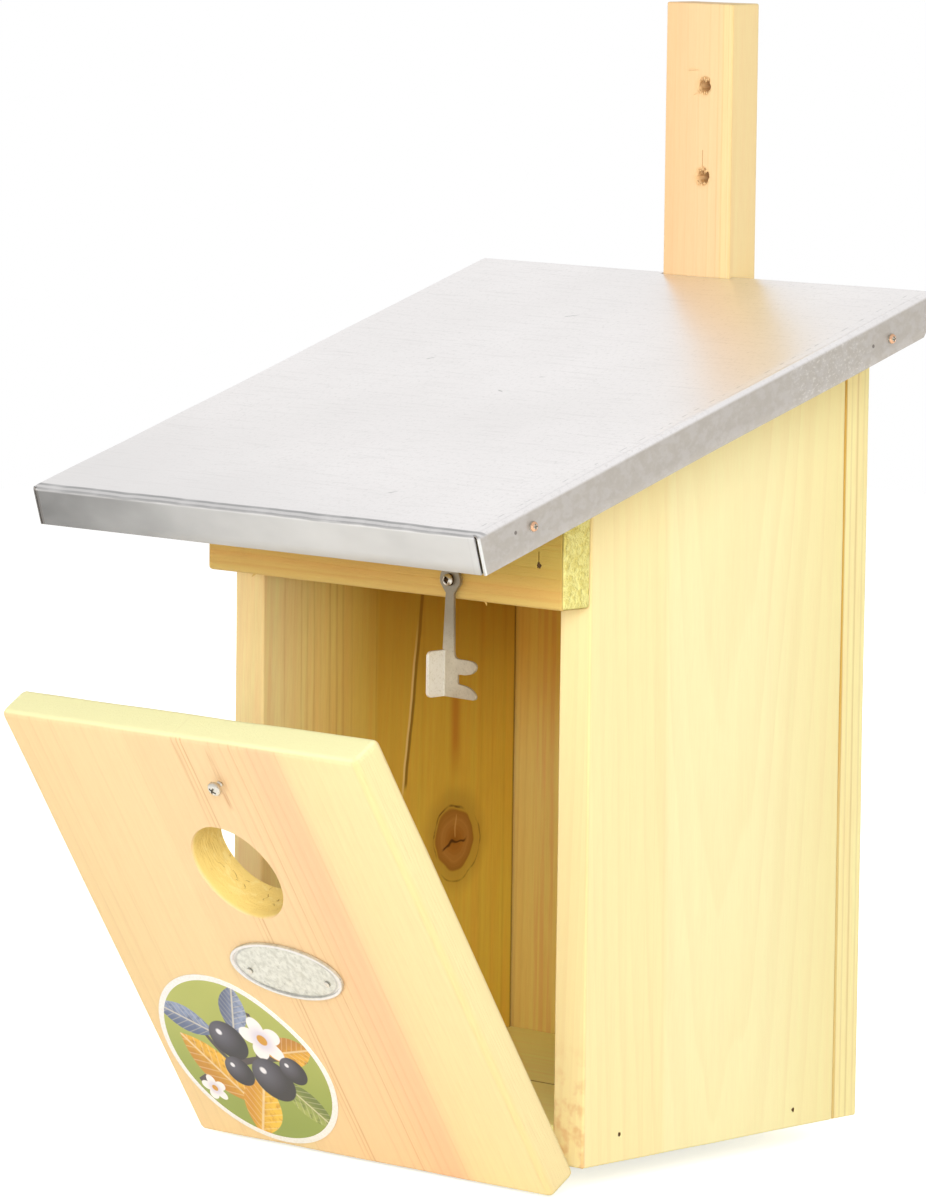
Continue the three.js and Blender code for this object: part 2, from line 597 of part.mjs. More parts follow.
// The screws of the two hinges: upwards through the frame leaves into the floor, measured in the case,
// and forwards through the door leaves into the door, measured from the pin's axis of the closed door.
function hingeScrews(leaf) {
  const onFrame = leaf === "frame";
  const out = onFrame ? new THREE.Vector3(0, 0, -1) : new THREE.Vector3(0, 1, 0);
  const y = onFrame ? PIN_SETBACK + FRAME_SCREW_SETBACK : DOOR_LEAF_FACE;
  const z = onFrame ? -LEAF_THICKNESS : DOOR_FOOT + DOOR_SCREW_RISE;
  const places = [
    { place: "inner", offset: -HINGE_SCREW_SPACING / 2 },
    { place: "outer", offset: HINGE_SCREW_SPACING / 2 },
  ];
  return SIDES.flatMap(({ side, sign }) =>
    places.map(({ place, offset }) => ({
      name: `hinge_${leaf}_screw_${side}_${place}`,
      kind: HINGE_SCREW,
      at: new THREE.Vector3(sign * (HINGE_SPACING / 2 + offset), y, z),
      out,
    })),
  );
}

// A leaf's plates joined to its knuckles, with room for the other leaf's knuckles and a bore for the pin.
function rolledLeaf(plates, ownKnuckles, otherKnuckles) {
  const half = HINGE_LENGTH / 2;
  const clear = BARREL_RADIUS + SEAT_GAP;
  const rooms = otherKnuckles.map(([low, high]) => {
    return block([low, -clear, -clear], [high, clear, PIN_DROP + OVERRUN]);
  });
  const rolls = ownKnuckles.map(([low, high]) => barAlongX(BARREL_RADIUS, low, high));
  const bore = barAlongX(PIN_RADIUS + PIVOT_GAP, -half - OVERRUN, half + OVERRUN);
  return joined([cutBy(joined(plates), rooms), ...rolls]).subtract(bore);
}

// The leaf under the floor, with the two outer knuckles.
function frameLeaf() {
  const half = HINGE_LENGTH / 2;
  const inner = MIDDLE_KNUCKLE_LENGTH / 2 + SEAT_GAP;
  const plate = block([-half, 0, PIN_DROP - LEAF_THICKNESS], [half, FRAME_LEAF_DEPTH, PIN_DROP]);
  return rolledLeaf([plate], [[-half, -inner], [inner, half]], [[-inner, inner]]);
}

// The bent leaf that runs forwards under the floor's edge and up the door's back, with the middle knuckle.
function doorLeaf() {
  const half = HINGE_LENGTH / 2;
  const inner = MIDDLE_KNUCKLE_LENGTH / 2;
  const back = DOOR_LEAF_FACE - LEAF_THICKNESS;
  const flatTop = DOOR_LEAF_RUN_RISE + LEAF_THICKNESS;
  const flat = block([-half, back, DOOR_LEAF_RUN_RISE], [half, 0, flatTop]);
  const upright = block([-half, back, DOOR_LEAF_RUN_RISE], [half, DOOR_LEAF_FACE, DOOR_LEAF_HEIGHT]);
  const beyond = half + OVERRUN;
  return rolledLeaf([flat, upright], [[-inner, inner]], [[-beyond, -inner], [inner, beyond]]);
}

// One leaf for each hinge, with the holes for its screws, at a height and depth in the group.
function addLeaves(group, leaf, solid, y, z) {
  const screws = hingeScrews(leaf);
  for (const { side, sign } of SIDES) {
    const x = (sign * HINGE_SPACING) / 2;
    const cutters = holes(screws).map((cutter) => cutter.translate(-x, -y, -z));
    const mesh = piece(`hinge_${leaf}_leaf_${side}`, cutBy(solid, cutters), MATERIALS.steel, group);
    mesh.position.set(x, y, z);
  }
  for (const screw of screws) addFastener(screw, MATERIALS.steel, group);
}

function addHingePins(group) {
  const pin = barAlongX(PIN_RADIUS, -HINGE_LENGTH / 2, HINGE_LENGTH / 2, SCREW_SIDES);
  for (const { side, sign } of SIDES) {
    const mesh = piece(`hinge_pin_${side}`, pin, MATERIALS.steel, group);
    mesh.position.set((sign * HINGE_SPACING) / 2, PIN_SETBACK, -PIN_DROP);
  }
}

// The latch's screw, its head just in front of the plate.
function latchScrew() {
  const y = -(LATCH_FRONT + RUNNING_GAP);
  const out = new THREE.Vector3(0, -1, 0);
  return { name: "latch_screw", kind: LATCH_SCREW, at: new THREE.Vector3(LATCH_X, y, LATCH_Z), out };
}

// A ring behind the latch that holds it off the rail, level with the closed door's face.
function addLatchMount(group) {
  addFastener(latchScrew(), MATERIALS.zinc, group);
  const [back, front] = [-RAIL_THICKNESS, -(LATCH_BACK - RUNNING_GAP)];
  const ring = barAlongY(SPACER_RADIUS, front, back, LATCH_X, LATCH_Z);
  const bore = barAlongY(LATCH_SCREW.radius + PIVOT_GAP, front - OVERRUN, back + OVERRUN, LATCH_X, LATCH_Z);
  piece("latch_spacer", ring.subtract(bore), MATERIALS.steel, group);
}

// The latch's outline round its pivot. The notch lies where the catch screw of the closed door passes.
function latchOutline() {
  const shape = new THREE.Shape();
  const eyeX = EYE_RADIUS * Math.cos(NECK_ANGLE);
  const eyeZ = -EYE_RADIUS * Math.sin(NECK_ANGLE);
  const neck = ARM_TOP_WIDTH / 2;
  const seat = NOTCH_ROOT + CATCH_SCREW.radius + RUNNING_GAP;
  const middle = -Math.sqrt(CATCH_REACH ** 2 - seat ** 2);
  const half = CATCH_SCREW.radius + NOTCH_GAP;
  const [top, floor] = [middle + half, middle - half];
  const foot = floor - LOWER_PRONG_HEIGHT;
  const length = PRONG_REACH - NOTCH_ROOT;
  const across = (share) => NOTCH_ROOT + length * share;
  const above = (share) => top + UPPER_PRONG_HEIGHT * share;
  const below = (share) => floor - LOWER_PRONG_HEIGHT * share;
  shape.moveTo(neck, -NECK_DROP);
  shape.lineTo(eyeX, eyeZ);
  shape.absarc(0, 0, EYE_RADIUS, -NECK_ANGLE, Math.PI + NECK_ANGLE, false);
  shape.lineTo(-neck, -NECK_DROP);
  shape.lineTo(-ARM_FOOT_LEFT, foot + TAB_HEIGHT);
  shape.lineTo(-ARM_FOOT_LEFT, foot);
  for (const [x, z] of LOWER_PRONG_SHARES) shape.lineTo(across(x), below(z));
  shape.lineTo(NOTCH_ROOT, floor + NOTCH_GAP);
  shape.lineTo(NOTCH_ROOT, top);
  for (const [x, z] of UPPER_PRONG_SHARES) shape.lineTo(across(x), above(z));
  shape.lineTo(ARM_FOOT_RIGHT, above(1) + NOTCH_GAP);
  return shape;
}

// The finger tab, bent forwards at the arm's left edge, in Y and Z.
function tabOutline(foot) {
  const [front, top, round] = [-LATCH_THICKNESS - TAB_DEPTH, foot + TAB_HEIGHT, TAB_CORNER_RADIUS];
  const shape = new THREE.Shape();
  shape.moveTo(0, foot);
  shape.lineTo(0, top);
  shape.lineTo(front + round, top);
  shape.quadraticCurveTo(front, top, front, top - round);
  shape.lineTo(front, foot + round);
  shape.quadraticCurveTo(front, foot, front + round, foot);
  return shape;
}

function addLatch(group) {
  const outline = latchOutline();
  const plate = forwards(outline, 0, LATCH_THICKNESS);
  const foot = Math.min(...outline.getPoints().map((point) => point.y));
  const tab = acrossX(tabOutline(foot), -ARM_FOOT_LEFT, -ARM_FOOT_LEFT + LATCH_THICKNESS);
  const eye = barAlongY(LATCH_SCREW.radius + PIVOT_GAP, -LATCH_THICKNESS - OVERRUN, OVERRUN, 0, 0);
  piece("latch_plate", plate.add(tab).subtract(eye), MATERIALS.zinc, group);
}

// A place on the closed door: across, up from its lower edge and out from its face. It is given from the
// pin's axis.
const doorPlace = (x, up, out = 0) => new THREE.Vector3(x, DOOR_FRONT_Y - out, DOOR_FOOT + up);

const doorwards = new THREE.Vector3(0, -1, 0);

function catchScrew() {
  const at = doorPlace(CATCH_OFFSET, CATCH_HEIGHT, CATCH_STANDOFF);
  return { name: "catch_screw", kind: CATCH_SCREW, at, out: doorwards };
}

function badgeNails() {
  return SIDES.map(({ side, sign }) => ({
    name: `badge_nail_${side}`,
    kind: BADGE_NAIL,
    at: doorPlace(
      BADGE_OFFSET + (sign * BADGE_NAIL_SPACING) / 2,
      BADGE_Z - BADGE_NAIL_DROP,
      SEAT_GAP + BADGE_THICKNESS + HOLE_GAP + BADGE_NAIL.headHeight,
    ),
    out: doorwards,
  }));
}

function oval(width, height, x, z) {
  const shape = new THREE.Shape();
  shape.absellipse(x, z, width / 2, height / 2, 0, 2 * Math.PI);
  return shape;
}

function addDoorPanel(group) {
  const half = CASE_WIDTH / 2;
  const board = block([-half, DOOR_FRONT_Y, DOOR_FOOT], [half, DOOR_BACK_Y, DOOR_FOOT + DOOR_HEIGHT]);
  const [front, back] = [DOOR_FRONT_Y - OVERRUN, DOOR_BACK_Y + OVERRUN];
  const up = DOOR_FOOT + DOOR_HEIGHT - ENTRANCE_DROP;
  const entrance = barAlongY(ENTRANCE_RADIUS, front, back, ENTRANCE_OFFSET, up, ENTRANCE_SIDES);
  const cutters = [entrance, ...holes([catchScrew(), ...badgeNails(), ...hingeScrews("door")])];
  piece("door_panel", cutBy(board, cutters), MATERIALS.doorWood, group);
}

function addBadge(group) {
  const back = DOOR_FRONT_Y - SEAT_GAP;
  const z = DOOR_FOOT + BADGE_Z;
  const narrower = 2 * BADGE_RIM_WIDTH;
  const whole = oval(BADGE_WIDTH, BADGE_HEIGHT, BADGE_OFFSET, z);
  const field = oval(BADGE_WIDTH - narrower, BADGE_HEIGHT - narrower, BADGE_OFFSET, z);
  const plate = forwards(whole, back, BADGE_THICKNESS + BADGE_RIM_RISE, OVAL_STEPS);
  const sunk = forwards(field, back - BADGE_THICKNESS, BADGE_RIM_RISE + OVERRUN, OVAL_STEPS);
  const bores = badgeNails().map(({ at, kind }) =>
    barAlongY(kind.radius + HOLE_GAP, back - OVERRUN, back + OVERRUN, at.x, at.z, NAIL_SIDES),
  );
  piece("badge_plate", cutBy(plate, [sunk, ...bores]), MATERIALS.badge, group);
  for (const nail of badgeNails()) addFastener(nail, MATERIALS.zinc, group);
}

function addLabel(group) {
  const shape = oval(LABEL_WIDTH, LABEL_HEIGHT, LABEL_OFFSET, DOOR_FOOT + LABEL_Z);
  const sheet = forwards(shape, DOOR_FRONT_Y - LABEL_GAP, LABEL_THICKNESS, OVAL_STEPS);
  piece("picture_label", sheet, MATERIALS.label, group);
}

function addCase(group) {
  const fasteners = caseFasteners();
  addSidePanels(group, fasteners);
  addBackPanel(group, fasteners);
  addFloor(group, fasteners);
  addFrontRail(group, fasteners);
  addRoofBoard(group, fasteners);
  addRoofSheet(group, fasteners);
  addBatten(group, fasteners);
  addLeaves(group, "frame", frameLeaf(), PIN_SETBACK, -PIN_DROP);
  addHingePins(group);
  addLatchMount(group);
  const { floor, back, rail, roof, flange, batten } = fasteners;
  for (const nail of [...floor, ...back, ...rail, ...roof]) addFastener(nail, MATERIALS.steel, group);
  for (const screw of flange) addFastener(screw, MATERIALS.copper, group);
  for (const screw of batten) addFastener(screw, MATERIALS.zinc, group);
}

function addDoor(group) {
  addDoorPanel(group);
  addLeaves(group, "door", doorLeaf(), 0, 0);
  addFastener(catchScrew(), MATERIALS.zinc, group);
  addBadge(group);
  addLabel(group);
}

// The whole box, with its origin on the batten's rear face, midway between the heights of the hanging holes.
const box = new THREE.Group();
const frame = new THREE.Group();
frame.position.set(0, -WALL_FACE, -MOUNT_HEIGHT);
box.add(frame);

const nestCase = new THREE.Group();
frame.add(nestCase);
addCase(nestCase);

const door = new THREE.Group();
door.position.set(0, PIN_SETBACK, -PIN_DROP);
door.rotation.x = DOOR_OPEN_ANGLE;
frame.add(door);
addDoor(door);

const latch = new THREE.Group();
latch.position.set(LATCH_X, -LATCH_BACK, LATCH_Z);
frame.add(latch);
addLatch(latch);

export default box;
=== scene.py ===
"""A wooden nest box for small birds: its woods, metals and printed label, dressed over the fixed frame.

Lengths are in millimetres unless a name says otherwise. The case's own coordinates are used throughout:
X to the right seen from the front, Y from the front edges of the side panels to the back, Z up from the foot.
The door's and the latch's coordinates start at their pivots, with the door as it stands when closed.
"""

import math

import bmesh
import bpy
from mathutils import Matrix, Vector, noise


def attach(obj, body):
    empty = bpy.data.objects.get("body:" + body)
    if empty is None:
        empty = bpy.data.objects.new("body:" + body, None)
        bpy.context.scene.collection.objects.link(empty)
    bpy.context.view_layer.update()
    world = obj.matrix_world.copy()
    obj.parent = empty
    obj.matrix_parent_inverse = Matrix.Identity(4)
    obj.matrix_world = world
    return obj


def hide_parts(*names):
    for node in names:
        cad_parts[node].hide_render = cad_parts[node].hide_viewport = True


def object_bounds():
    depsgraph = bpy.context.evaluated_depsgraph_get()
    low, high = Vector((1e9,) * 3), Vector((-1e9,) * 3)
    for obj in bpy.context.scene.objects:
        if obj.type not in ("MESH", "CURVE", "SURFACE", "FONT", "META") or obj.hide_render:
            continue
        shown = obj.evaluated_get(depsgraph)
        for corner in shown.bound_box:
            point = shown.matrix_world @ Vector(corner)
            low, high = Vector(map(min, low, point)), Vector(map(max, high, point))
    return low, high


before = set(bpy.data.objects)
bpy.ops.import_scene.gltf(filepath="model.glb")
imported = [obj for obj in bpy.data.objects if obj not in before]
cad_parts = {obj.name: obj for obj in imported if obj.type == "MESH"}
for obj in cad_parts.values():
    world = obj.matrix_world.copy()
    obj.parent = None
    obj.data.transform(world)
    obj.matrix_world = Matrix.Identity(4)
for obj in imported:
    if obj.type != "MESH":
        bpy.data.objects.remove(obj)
CAD_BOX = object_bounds()

MM = 0.001
SEAT_GAP = 0.3
OVERRUN = 3.0

# The case.
HALF_CASE = 71.0
SIDE_DEPTH = 111.0
SIDE_THICKNESS = 11.8
INNER_HALF = HALF_CASE - SIDE_THICKNESS
SIDE_FRONT_HEIGHT = 197.1
BACK_THICKNESS = 10.8
CASE_BACK = SIDE_DEPTH + BACK_THICKNESS
FLOOR_THICKNESS = 11.2
FLOOR_JOINT = 47.5
FLOOR_JOINT_GAP = 0.4
RAIL_THICKNESS = 11.8
RAIL_HEIGHT = 35.5
RAIL_FRONT = -RAIL_THICKNESS
RAIL_LOWER_EDGE = SIDE_FRONT_HEIGHT - RAIL_HEIGHT

# The roof. Places on it are given along its slope, from the front edges of the sides, and up from them.
ROOF_SLOPE = math.radians(16.9)
ROOF_SIDE_OVERHANG = 17.5
ROOF_BACK_OVERHANG = 1.3
ROOF_HALF = HALF_CASE + ROOF_SIDE_OVERHANG
ROOF_OFFSET = 2.8
ROOF_FRONT = -68.6
ROOF_BACK = CASE_BACK + ROOF_BACK_OVERHANG
ROOF_BOARD_THICKNESS = 11.0
ROOF_BOARD_LOW = SEAT_GAP
ROOF_BOARD_HIGH = ROOF_BOARD_LOW + ROOF_BOARD_THICKNESS
SHEET_THICKNESS = 0.7
ROOF_TOP = ROOF_BOARD_HIGH + SEAT_GAP + SHEET_THICKNESS
FLANGE_HEIGHT = 11.9
FLANGE_CORNER_RADIUS = 3.0
SHEET_BEND_RADIUS = 1.3
SHEET_SLIT = 1.2
SHEET_SLIT_LEFT = 0.15
SHEET_FLARE = 1.1
SHEET_FLARE_START = 20.0
NOTCH_GAP = 0.3

# The batten, which hangs the box on the wall.
BATTEN_WIDTH = 26.4
BATTEN_THICKNESS = 12.2
BATTEN_HEIGHT = 329.0
BATTEN_OFFSET = 2.0
BATTEN_LOW_X = BATTEN_OFFSET - BATTEN_WIDTH / 2
BATTEN_HIGH_X = BATTEN_OFFSET + BATTEN_WIDTH / 2
HANGING_HOLE_X = 4.0
HANGING_HOLE_DROPS = (52.1, 24.8)
HANGING_HOLE_HEIGHTS = tuple(BATTEN_HEIGHT - drop for drop in HANGING_HOLE_DROPS)
WALL_DEPTH = CASE_BACK + BATTEN_THICKNESS
MOUNT_HEIGHT = sum(HANGING_HOLE_HEIGHTS) / 2

# The door.
PIN_SETBACK = 4.2
PIN_DROP = 1.7
DOOR_GAP = 1.3
DOOR_LIFT = 2.8
DOOR_TOP_GAP = 1.4
DOOR_THICKNESS = 11.5
DOOR_OPEN_ANGLE = math.radians(32)
DOOR_BACK = -DOOR_GAP - PIN_SETBACK
DOOR_FRONT = DOOR_BACK - DOOR_THICKNESS
DOOR_FOOT = DOOR_LIFT + PIN_DROP
DOOR_HEIGHT = RAIL_LOWER_EDGE - DOOR_TOP_GAP - DOOR_LIFT
DOOR_TOP = DOOR_FOOT + DOOR_HEIGHT
ENTRANCE_X = 0.4
ENTRANCE_DROP = 49.0
ENTRANCE_Z = DOOR_TOP - ENTRANCE_DROP
ENTRANCE_RADIUS = 16.0

# The latch.
LATCH_X = 29.4
LATCH_RISE = 5.8
LATCH_STANDOFF = 0.4
LATCH_THICKNESS = 1.0
LATCH_BACK = DOOR_GAP + DOOR_THICKNESS + LATCH_STANDOFF
LATCH_Z = RAIL_LOWER_EDGE + LATCH_RISE

CASE_PLACE = Matrix.Translation(Vector((0, -WALL_DEPTH, -MOUNT_HEIGHT)) * MM)
PIN_PLACE = Matrix.Translation(Vector((0, PIN_SETBACK, -PIN_DROP)) * MM)
BODY_PLACES = {
    "case": CASE_PLACE,
    "door": CASE_PLACE @ PIN_PLACE @ Matrix.Rotation(DOOR_OPEN_ANGLE, 4, "X"),
    "latch": CASE_PLACE @ Matrix.Translation(Vector((LATCH_X, -LATCH_BACK, LATCH_Z)) * MM),
}
SHARP_ANGLE = math.radians(38)
WHITE = (1, 1, 1, 1)


def colour(code):
    """A colour from its six hexadecimal digits, as linear values."""
    values = []
    for start in (0, 2, 4):
        value = int(code[start : start + 2], 16) / 255
        values.append(value / 12.92 if value <= 0.04045 else ((value + 0.055) / 1.055) ** 2.4)
    return (*values, 1)


# Materials. A field is a number, point or colour that varies over a surface, so that its sums read as sums.
class Field:
    def __init__(self, shader, socket):
        self.shader = shader
        self.socket = socket

    def worked(self, operation, *values):
        kind = self.shader.vector if self.socket.type == "VECTOR" else self.shader.math
        return kind(operation, *values)

    def __add__(self, other):
        return self.worked("ADD", self, other)

    def __sub__(self, other):
        return self.worked("SUBTRACT", self, other)

    def __rsub__(self, other):
        return self.worked("SUBTRACT", other, self)

    def __mul__(self, other):
        return self.worked("MULTIPLY", self, other)

    def __truediv__(self, other):
        return self.worked("DIVIDE", self, other)

    def __abs__(self):
        return self.worked("ABSOLUTE", self)

    def length(self):
        return self.shader.vector("LENGTH", self)

    def dot(self, way):
        return self.shader.vector("DOT_PRODUCT", self, way)

    def axes(self):
        first = self.shader.node("ShaderNodeSeparateXYZ", {0: self})
        return [Field(self.shader, socket) for socket in first.socket.node.outputs]

    def noise(self, scale, detail=2.0, roughness=0.5):
        """Noise from 0 to 1 at a point, mostly from 0.3 to 0.7."""
        values = {"Vector": self, "Scale": scale, "Detail": detail, "Roughness": roughness}
        return self.shader.node("ShaderNodeTexNoise", values)

    def wave(self, scale, size, detail=2.0):
        """Noise round 0 that reaches about a size either way."""
        return self.shader.math("MULTIPLY_ADD", self.noise(scale, detail), 3 * size, -1.5 * size)

    def mapped(self, middle, turn, sizes):
        """The point from a middle in X and Y, turned back by an angle round Z and divided by two sizes."""
        values = {"Vector": self, "Location": (*middle, 0), "Rotation": (0, 0, turn), "Scale": (*sizes, 1)}
        return self.shader.node("ShaderNodeMapping", values, vector_type="TEXTURE")

    def step(self, low, high, start=0.0, end=1.0):
        """Goes smoothly from start to end while the value goes from low to high."""
        values = {0: self, 1: low, 2: high, 3: start, 4: end}
        return self.shader.node("ShaderNodeMapRange", values, interpolation_type="SMOOTHSTEP")

    def band(self, middle, half, soft):
        """1 where the value is within half of the middle, 0 beyond that and soft."""
        return abs(self - middle).step(half, half + soft, 1.0, 0.0)

    def ramp(self, stops):
        """The value's place in a row of pairs of place and number or colour."""
        made = self.shader.node("ShaderNodeValToRGB", {0: self})
        elements = made.socket.node.color_ramp.elements
        while len(elements) > 1:
            elements.remove(elements[-1])
        for index, (position, value) in enumerate(stops):
            element = elements[0] if index == 0 else elements.new(position)
            element.position = position
            if isinstance(value, str):
                value = colour(value)
            element.color = value if isinstance(value, tuple) else (value, value, value, 1)
        return made


class Shader:
    """Builds one node tree, a material's or the world's, with short calls."""

    def __init__(self, name, kind="material"):
        self.owner = getattr(bpy.data, kind + "s").new(name)
        self.owner.use_nodes = True
        self.tree = self.owner.node_tree
        self.tree.nodes.clear()
        self.output = self.tree.nodes.new("ShaderNodeOutput" + kind.title())
        if kind == "material":
            self.surface = self.tree.nodes.new("ShaderNodeBsdfPrincipled")
            self.tree.links.new(self.surface.outputs[0], self.output.inputs[0])

    def put(self, socket, value):
        """Sets a socket to a number, a point or a colour's code, or links a field to it."""
        if isinstance(value, Field):
            self.tree.links.new(value.socket, socket)
        else:
            socket.default_value = colour(value) if isinstance(value, str) else value

    def node(self, kind, values, output=0, **settings):
        made = self.tree.nodes.new(kind)
        for key, value in settings.items():
            setattr(made, key, value)
        for key, value in values.items():
            self.put(made.inputs[key], value)
        return Field(self, made.outputs[output])

    def set(self, **values):
        for key, value in values.items():
            self.put(self.surface.inputs[key.replace("_", " ")], value)

    def math(self, operation, *values):
        return self.node("ShaderNodeMath", dict(enumerate(values)), operation=operation)

    def vector(self, operation, *values):
        output = "Value" if operation in ("LENGTH", "DOT_PRODUCT") else "Vector"
        return self.node("ShaderNodeVectorMath", dict(enumerate(values)), output, operation=operation)

    def scaled(self, vector, factor):
        values = {0: vector, "Scale": factor}
        return self.node("ShaderNodeVectorMath", values, "Vector", operation="SCALE")

    def place(self):
        """The point in the piece's own coordinates, in millimetres."""
        return self.scaled(self.node("ShaderNodeTexCoord", {}, "Object"), 1 / MM)

    def bump(self, height, distance, strength=1.0):
        values = {"Height": height, "Distance": distance * MM, "Strength": strength}
        self.set(Normal=self.node("ShaderNodeBump", values))

    def finished(self, tone, roughness, metallic, height, distance, strength):
        self.set(Base_Color=tone, Roughness=roughness, Metallic=metallic)
        self.bump(height, distance, strength)
        return self.owner


def joined(x, y, z):
    """A point from its coordinates, at least one of them a field."""
    shader = next(value.shader for value in (x, y, z) if isinstance(value, Field))
    return shader.node("ShaderNodeCombineXYZ", {0: x, 1: y, 2: z})


def mix(factor, a, b):
    return factor.shader.node("ShaderNodeMix", {0: factor, 6: a, 7: b}, 2, data_type="RGBA")


def largest(first, *others):
    for other in others:
        first = first.worked("MAXIMUM", first, other)
    return first


# Wood. Each board is cut from a log of its own: a pith line, growth rings round it, and fibres along it.
RING_PROFILE_SHARES = ((0.0, 0.0), (0.5, 0.2), (0.8, 0.75), (0.9, 1.0), (0.95, 0.8), (1.0, 0.0))
FIBRE_STRETCH = 0.94
LINES_IN_RAMP = 9
KNOT_COLOURS = ("a06826", "b47a34", "c28c46", "a8742e")
# Each rim of a knot: how far out in shares of the knot's size, on which side, and how strong.
KNOT_RIM_SHARES = ((1.06, -1, 0.8), (1.32, 1, 0.5))
# Factors of the painted shade that dulls the lamps' highlight on rounded upright edges.
PAINTED_EDGE_SHADE = (0.93, 0.88, 0.80)


class Pine:
    """One board's wood. Its tints and dark lines lie between two edges of its shown face, start and end.

    The colour of late wood marks its lines, rings and fibres, whose strengths are line, rings and fibre.
    Blotch is the strength of light and dark along the grain, spacing the distance between rings, and slant
    how far the rings lean into the board.
    """

    def __init__(self, name, run, start, end, tints, lines=(), pith=None, late="c98a45", line=0.8,
                 spacing=3.2, rings=0.25, blotch=0.2, slant=0.3, fibre=0.1):
        shader = self.shader = Shader(name)
        axis = Vector(run).normalized()
        width = (Vector(end) - Vector(start)).length
        way = (Vector(end) - Vector(start)).normalized()
        self.place = shader.place()
        self.axes = self.place.axes()
        self.flow = self.place - shader.scaled(axis, self.place.dot(axis) * FIBRE_STRETCH)
        wave = self.flow.wave(0.05, 1.0)
        radius = across = (self.place - start).dot(way + axis.cross(way) * slant) + wave
        if pith:
            radius = shader.vector("CROSS_PRODUCT", self.place - pith, axis).length()
        radius = radius + wave * 1.5
        share = across / width
        tone = share.ramp([(distance / width, code) for distance, code in tints])
        strands = self.flow.noise(1.7, 4, 0.7)
        patch = self.flow.noise(0.06, 2).step(0.25, 0.65, 0.35, 1.0)
        uneven = joined(radius, 0, 0).wave(0.13, 0.9)
        ring = shader.math("FRACT", radius / spacing + uneven).ramp(RING_PROFILE_SHARES)
        tone = mix(ring * patch * rings, tone, late)
        for first in range(0, len(lines), LINES_IN_RAMP):
            marks = self.marks(share, width, lines[first : first + LINES_IN_RAMP])
            tone = mix(marks * patch * strands.step(0.2, 0.6, 0.55, 1.0) * line, tone, late)
        tone = mix(strands.step(0.35, 0.75) * fibre, tone, late)
        light = shader.math("MULTIPLY_ADD", self.flow.noise(0.35, 3), blotch, 1 - blotch / 2)
        self.tone = shader.vector("MULTIPLY", tone, joined(1, light, light))
        self.height = strands * 0.7 + ring * rings
        shader.set(Base_Color=self.tone, Roughness=0.6, Specular_IOR_Level=0.3)
        shader.bump(self.height, 0.06, 0.7)

    @property
    def material(self):
        return self.shader.owner

    def marks(self, share, width, lines):
        """Dark lines, each with its distance from the start, its half width and its strength."""
        stops = []
        for distance, half, strength in lines:
            stops += [(distance - half, 0.0), (distance, strength), (distance + 0.6 * half, 0.0)]
        return share.ramp(sorted((max(0, at / width), value) for at, value in stops))

    def paint(self, mask, code, amount=1.0):
        """Lays a colour over the wood where a mask is 1."""
        self.tone = mix(mask * amount, self.tone, code)
        self.shader.set(Base_Color=self.tone)

    def shade(self, mask, factors):
        """Multiplies the tone where a mask is 1."""
        self.tone = mix(mask, self.tone, self.shader.vector("MULTIPLY", self.tone, factors))
        self.shader.set(Base_Color=self.tone)

    def paint_edge_shade(self, x, y, reach):
        """Painted shade along an upright edge round a place in X and Y, against the lamps' highlight."""
        away = largest(abs(self.axes[0] - x), abs(self.axes[1] - y))
        self.shade(away.step(reach, 0.4 * reach), PAINTED_EDGE_SHADE)

    def roughen(self, height, distance):
        self.shader.bump(self.height + height, distance)

    def knot(self, middle, radii):
        """A knot through a side panel, round a place in Y and Z, with rings round it and cracks in it."""
        a = (self.axes[1] - middle[0]) / radii[0]
        b = (self.axes[2] - middle[1]) / radii[1]
        away = joined(a, b, 0).length() + self.place.wave(0.12, 0.12, 1)
        self.paint(away.step(1.0, 2.0, 0.5, 0.0), "b08a3c")
        heart = away.ramp([(index / 3, code) for index, code in enumerate(KNOT_COLOURS)])
        rings = self.shader.math("FRACT", away * 6.0)
        heart = mix(rings * 0.25, heart, KNOT_COLOURS[0])
        crooked = self.place.wave(0.16, 0.3, 1)
        crack = (b + a * -0.15 + crooked).band(-0.1, 0.02, 0.06) * abs(a).step(0.7, 0.5)
        heart = mix(crack * 0.9, heart, "4a2c0c")
        pale = (a + crooked).band(0.1, 0.02, 0.06) * b.band(0.4, 0.3, 0.1)
        heart = mix(pale * 0.7, heart, "dcae68")
        self.tone = mix(away.step(0.94, 1.03, 1.0, 0.0), self.tone, heart)
        broken = self.place.noise(0.22, 3).step(0.35, 0.6, 0.2, 1.0)
        for reach, side, strength in KNOT_RIM_SHARES:
            rim = away.band(reach, 0.012, 0.035) * broken
            self.paint(rim * ((a - b) * side).step(0.2, 0.9), "6b4715", strength)


# The studio: a white world, a pale floor, soft lamps, and the camera.
WORLD_STRENGTH = 0.42
WORLD_TINT = (1, 0.99, 0.97, 1)
CAMERA_PLACE = (1383.8, -1461.6, 392.0)
CAMERA_RIGHT = (0.73047, 0.68283, 0.01248)
CAMERA_DOWN = (0.08792, -0.07590, -0.99323)
CAMERA_FORWARD = (-0.67726, 0.72663, -0.11547)
CAMERA_FOCUS_PIXELS = 6980.292
CAMERA_CLIP_METRES = 20
PHOTO_HEIGHT_PIXELS = 1200
SENSOR = 36.0
FLOOR_HALF_SIZE = 1500.0
FLOOR_TINT = (0.9, 0.9, 0.89, 1)
FLOOR_GLOW = 0.64
LAMP_TINT = (1, 0.995, 0.985)
LAMP_TARGET = (0, 20, 110)
# Each lamp: its place, its size and its power in watts.
LAMPS = (
    ("key_lamp", (900, -900, 520), 900, 13.4),
    ("front_lamp", (150, -1300, 260), 700, 2.2),
    ("left_lamp", (-1250, -100, 450), 900, 4.0),
    ("back_lamp", (-300, 1250, 450), 900, 6.0),
)


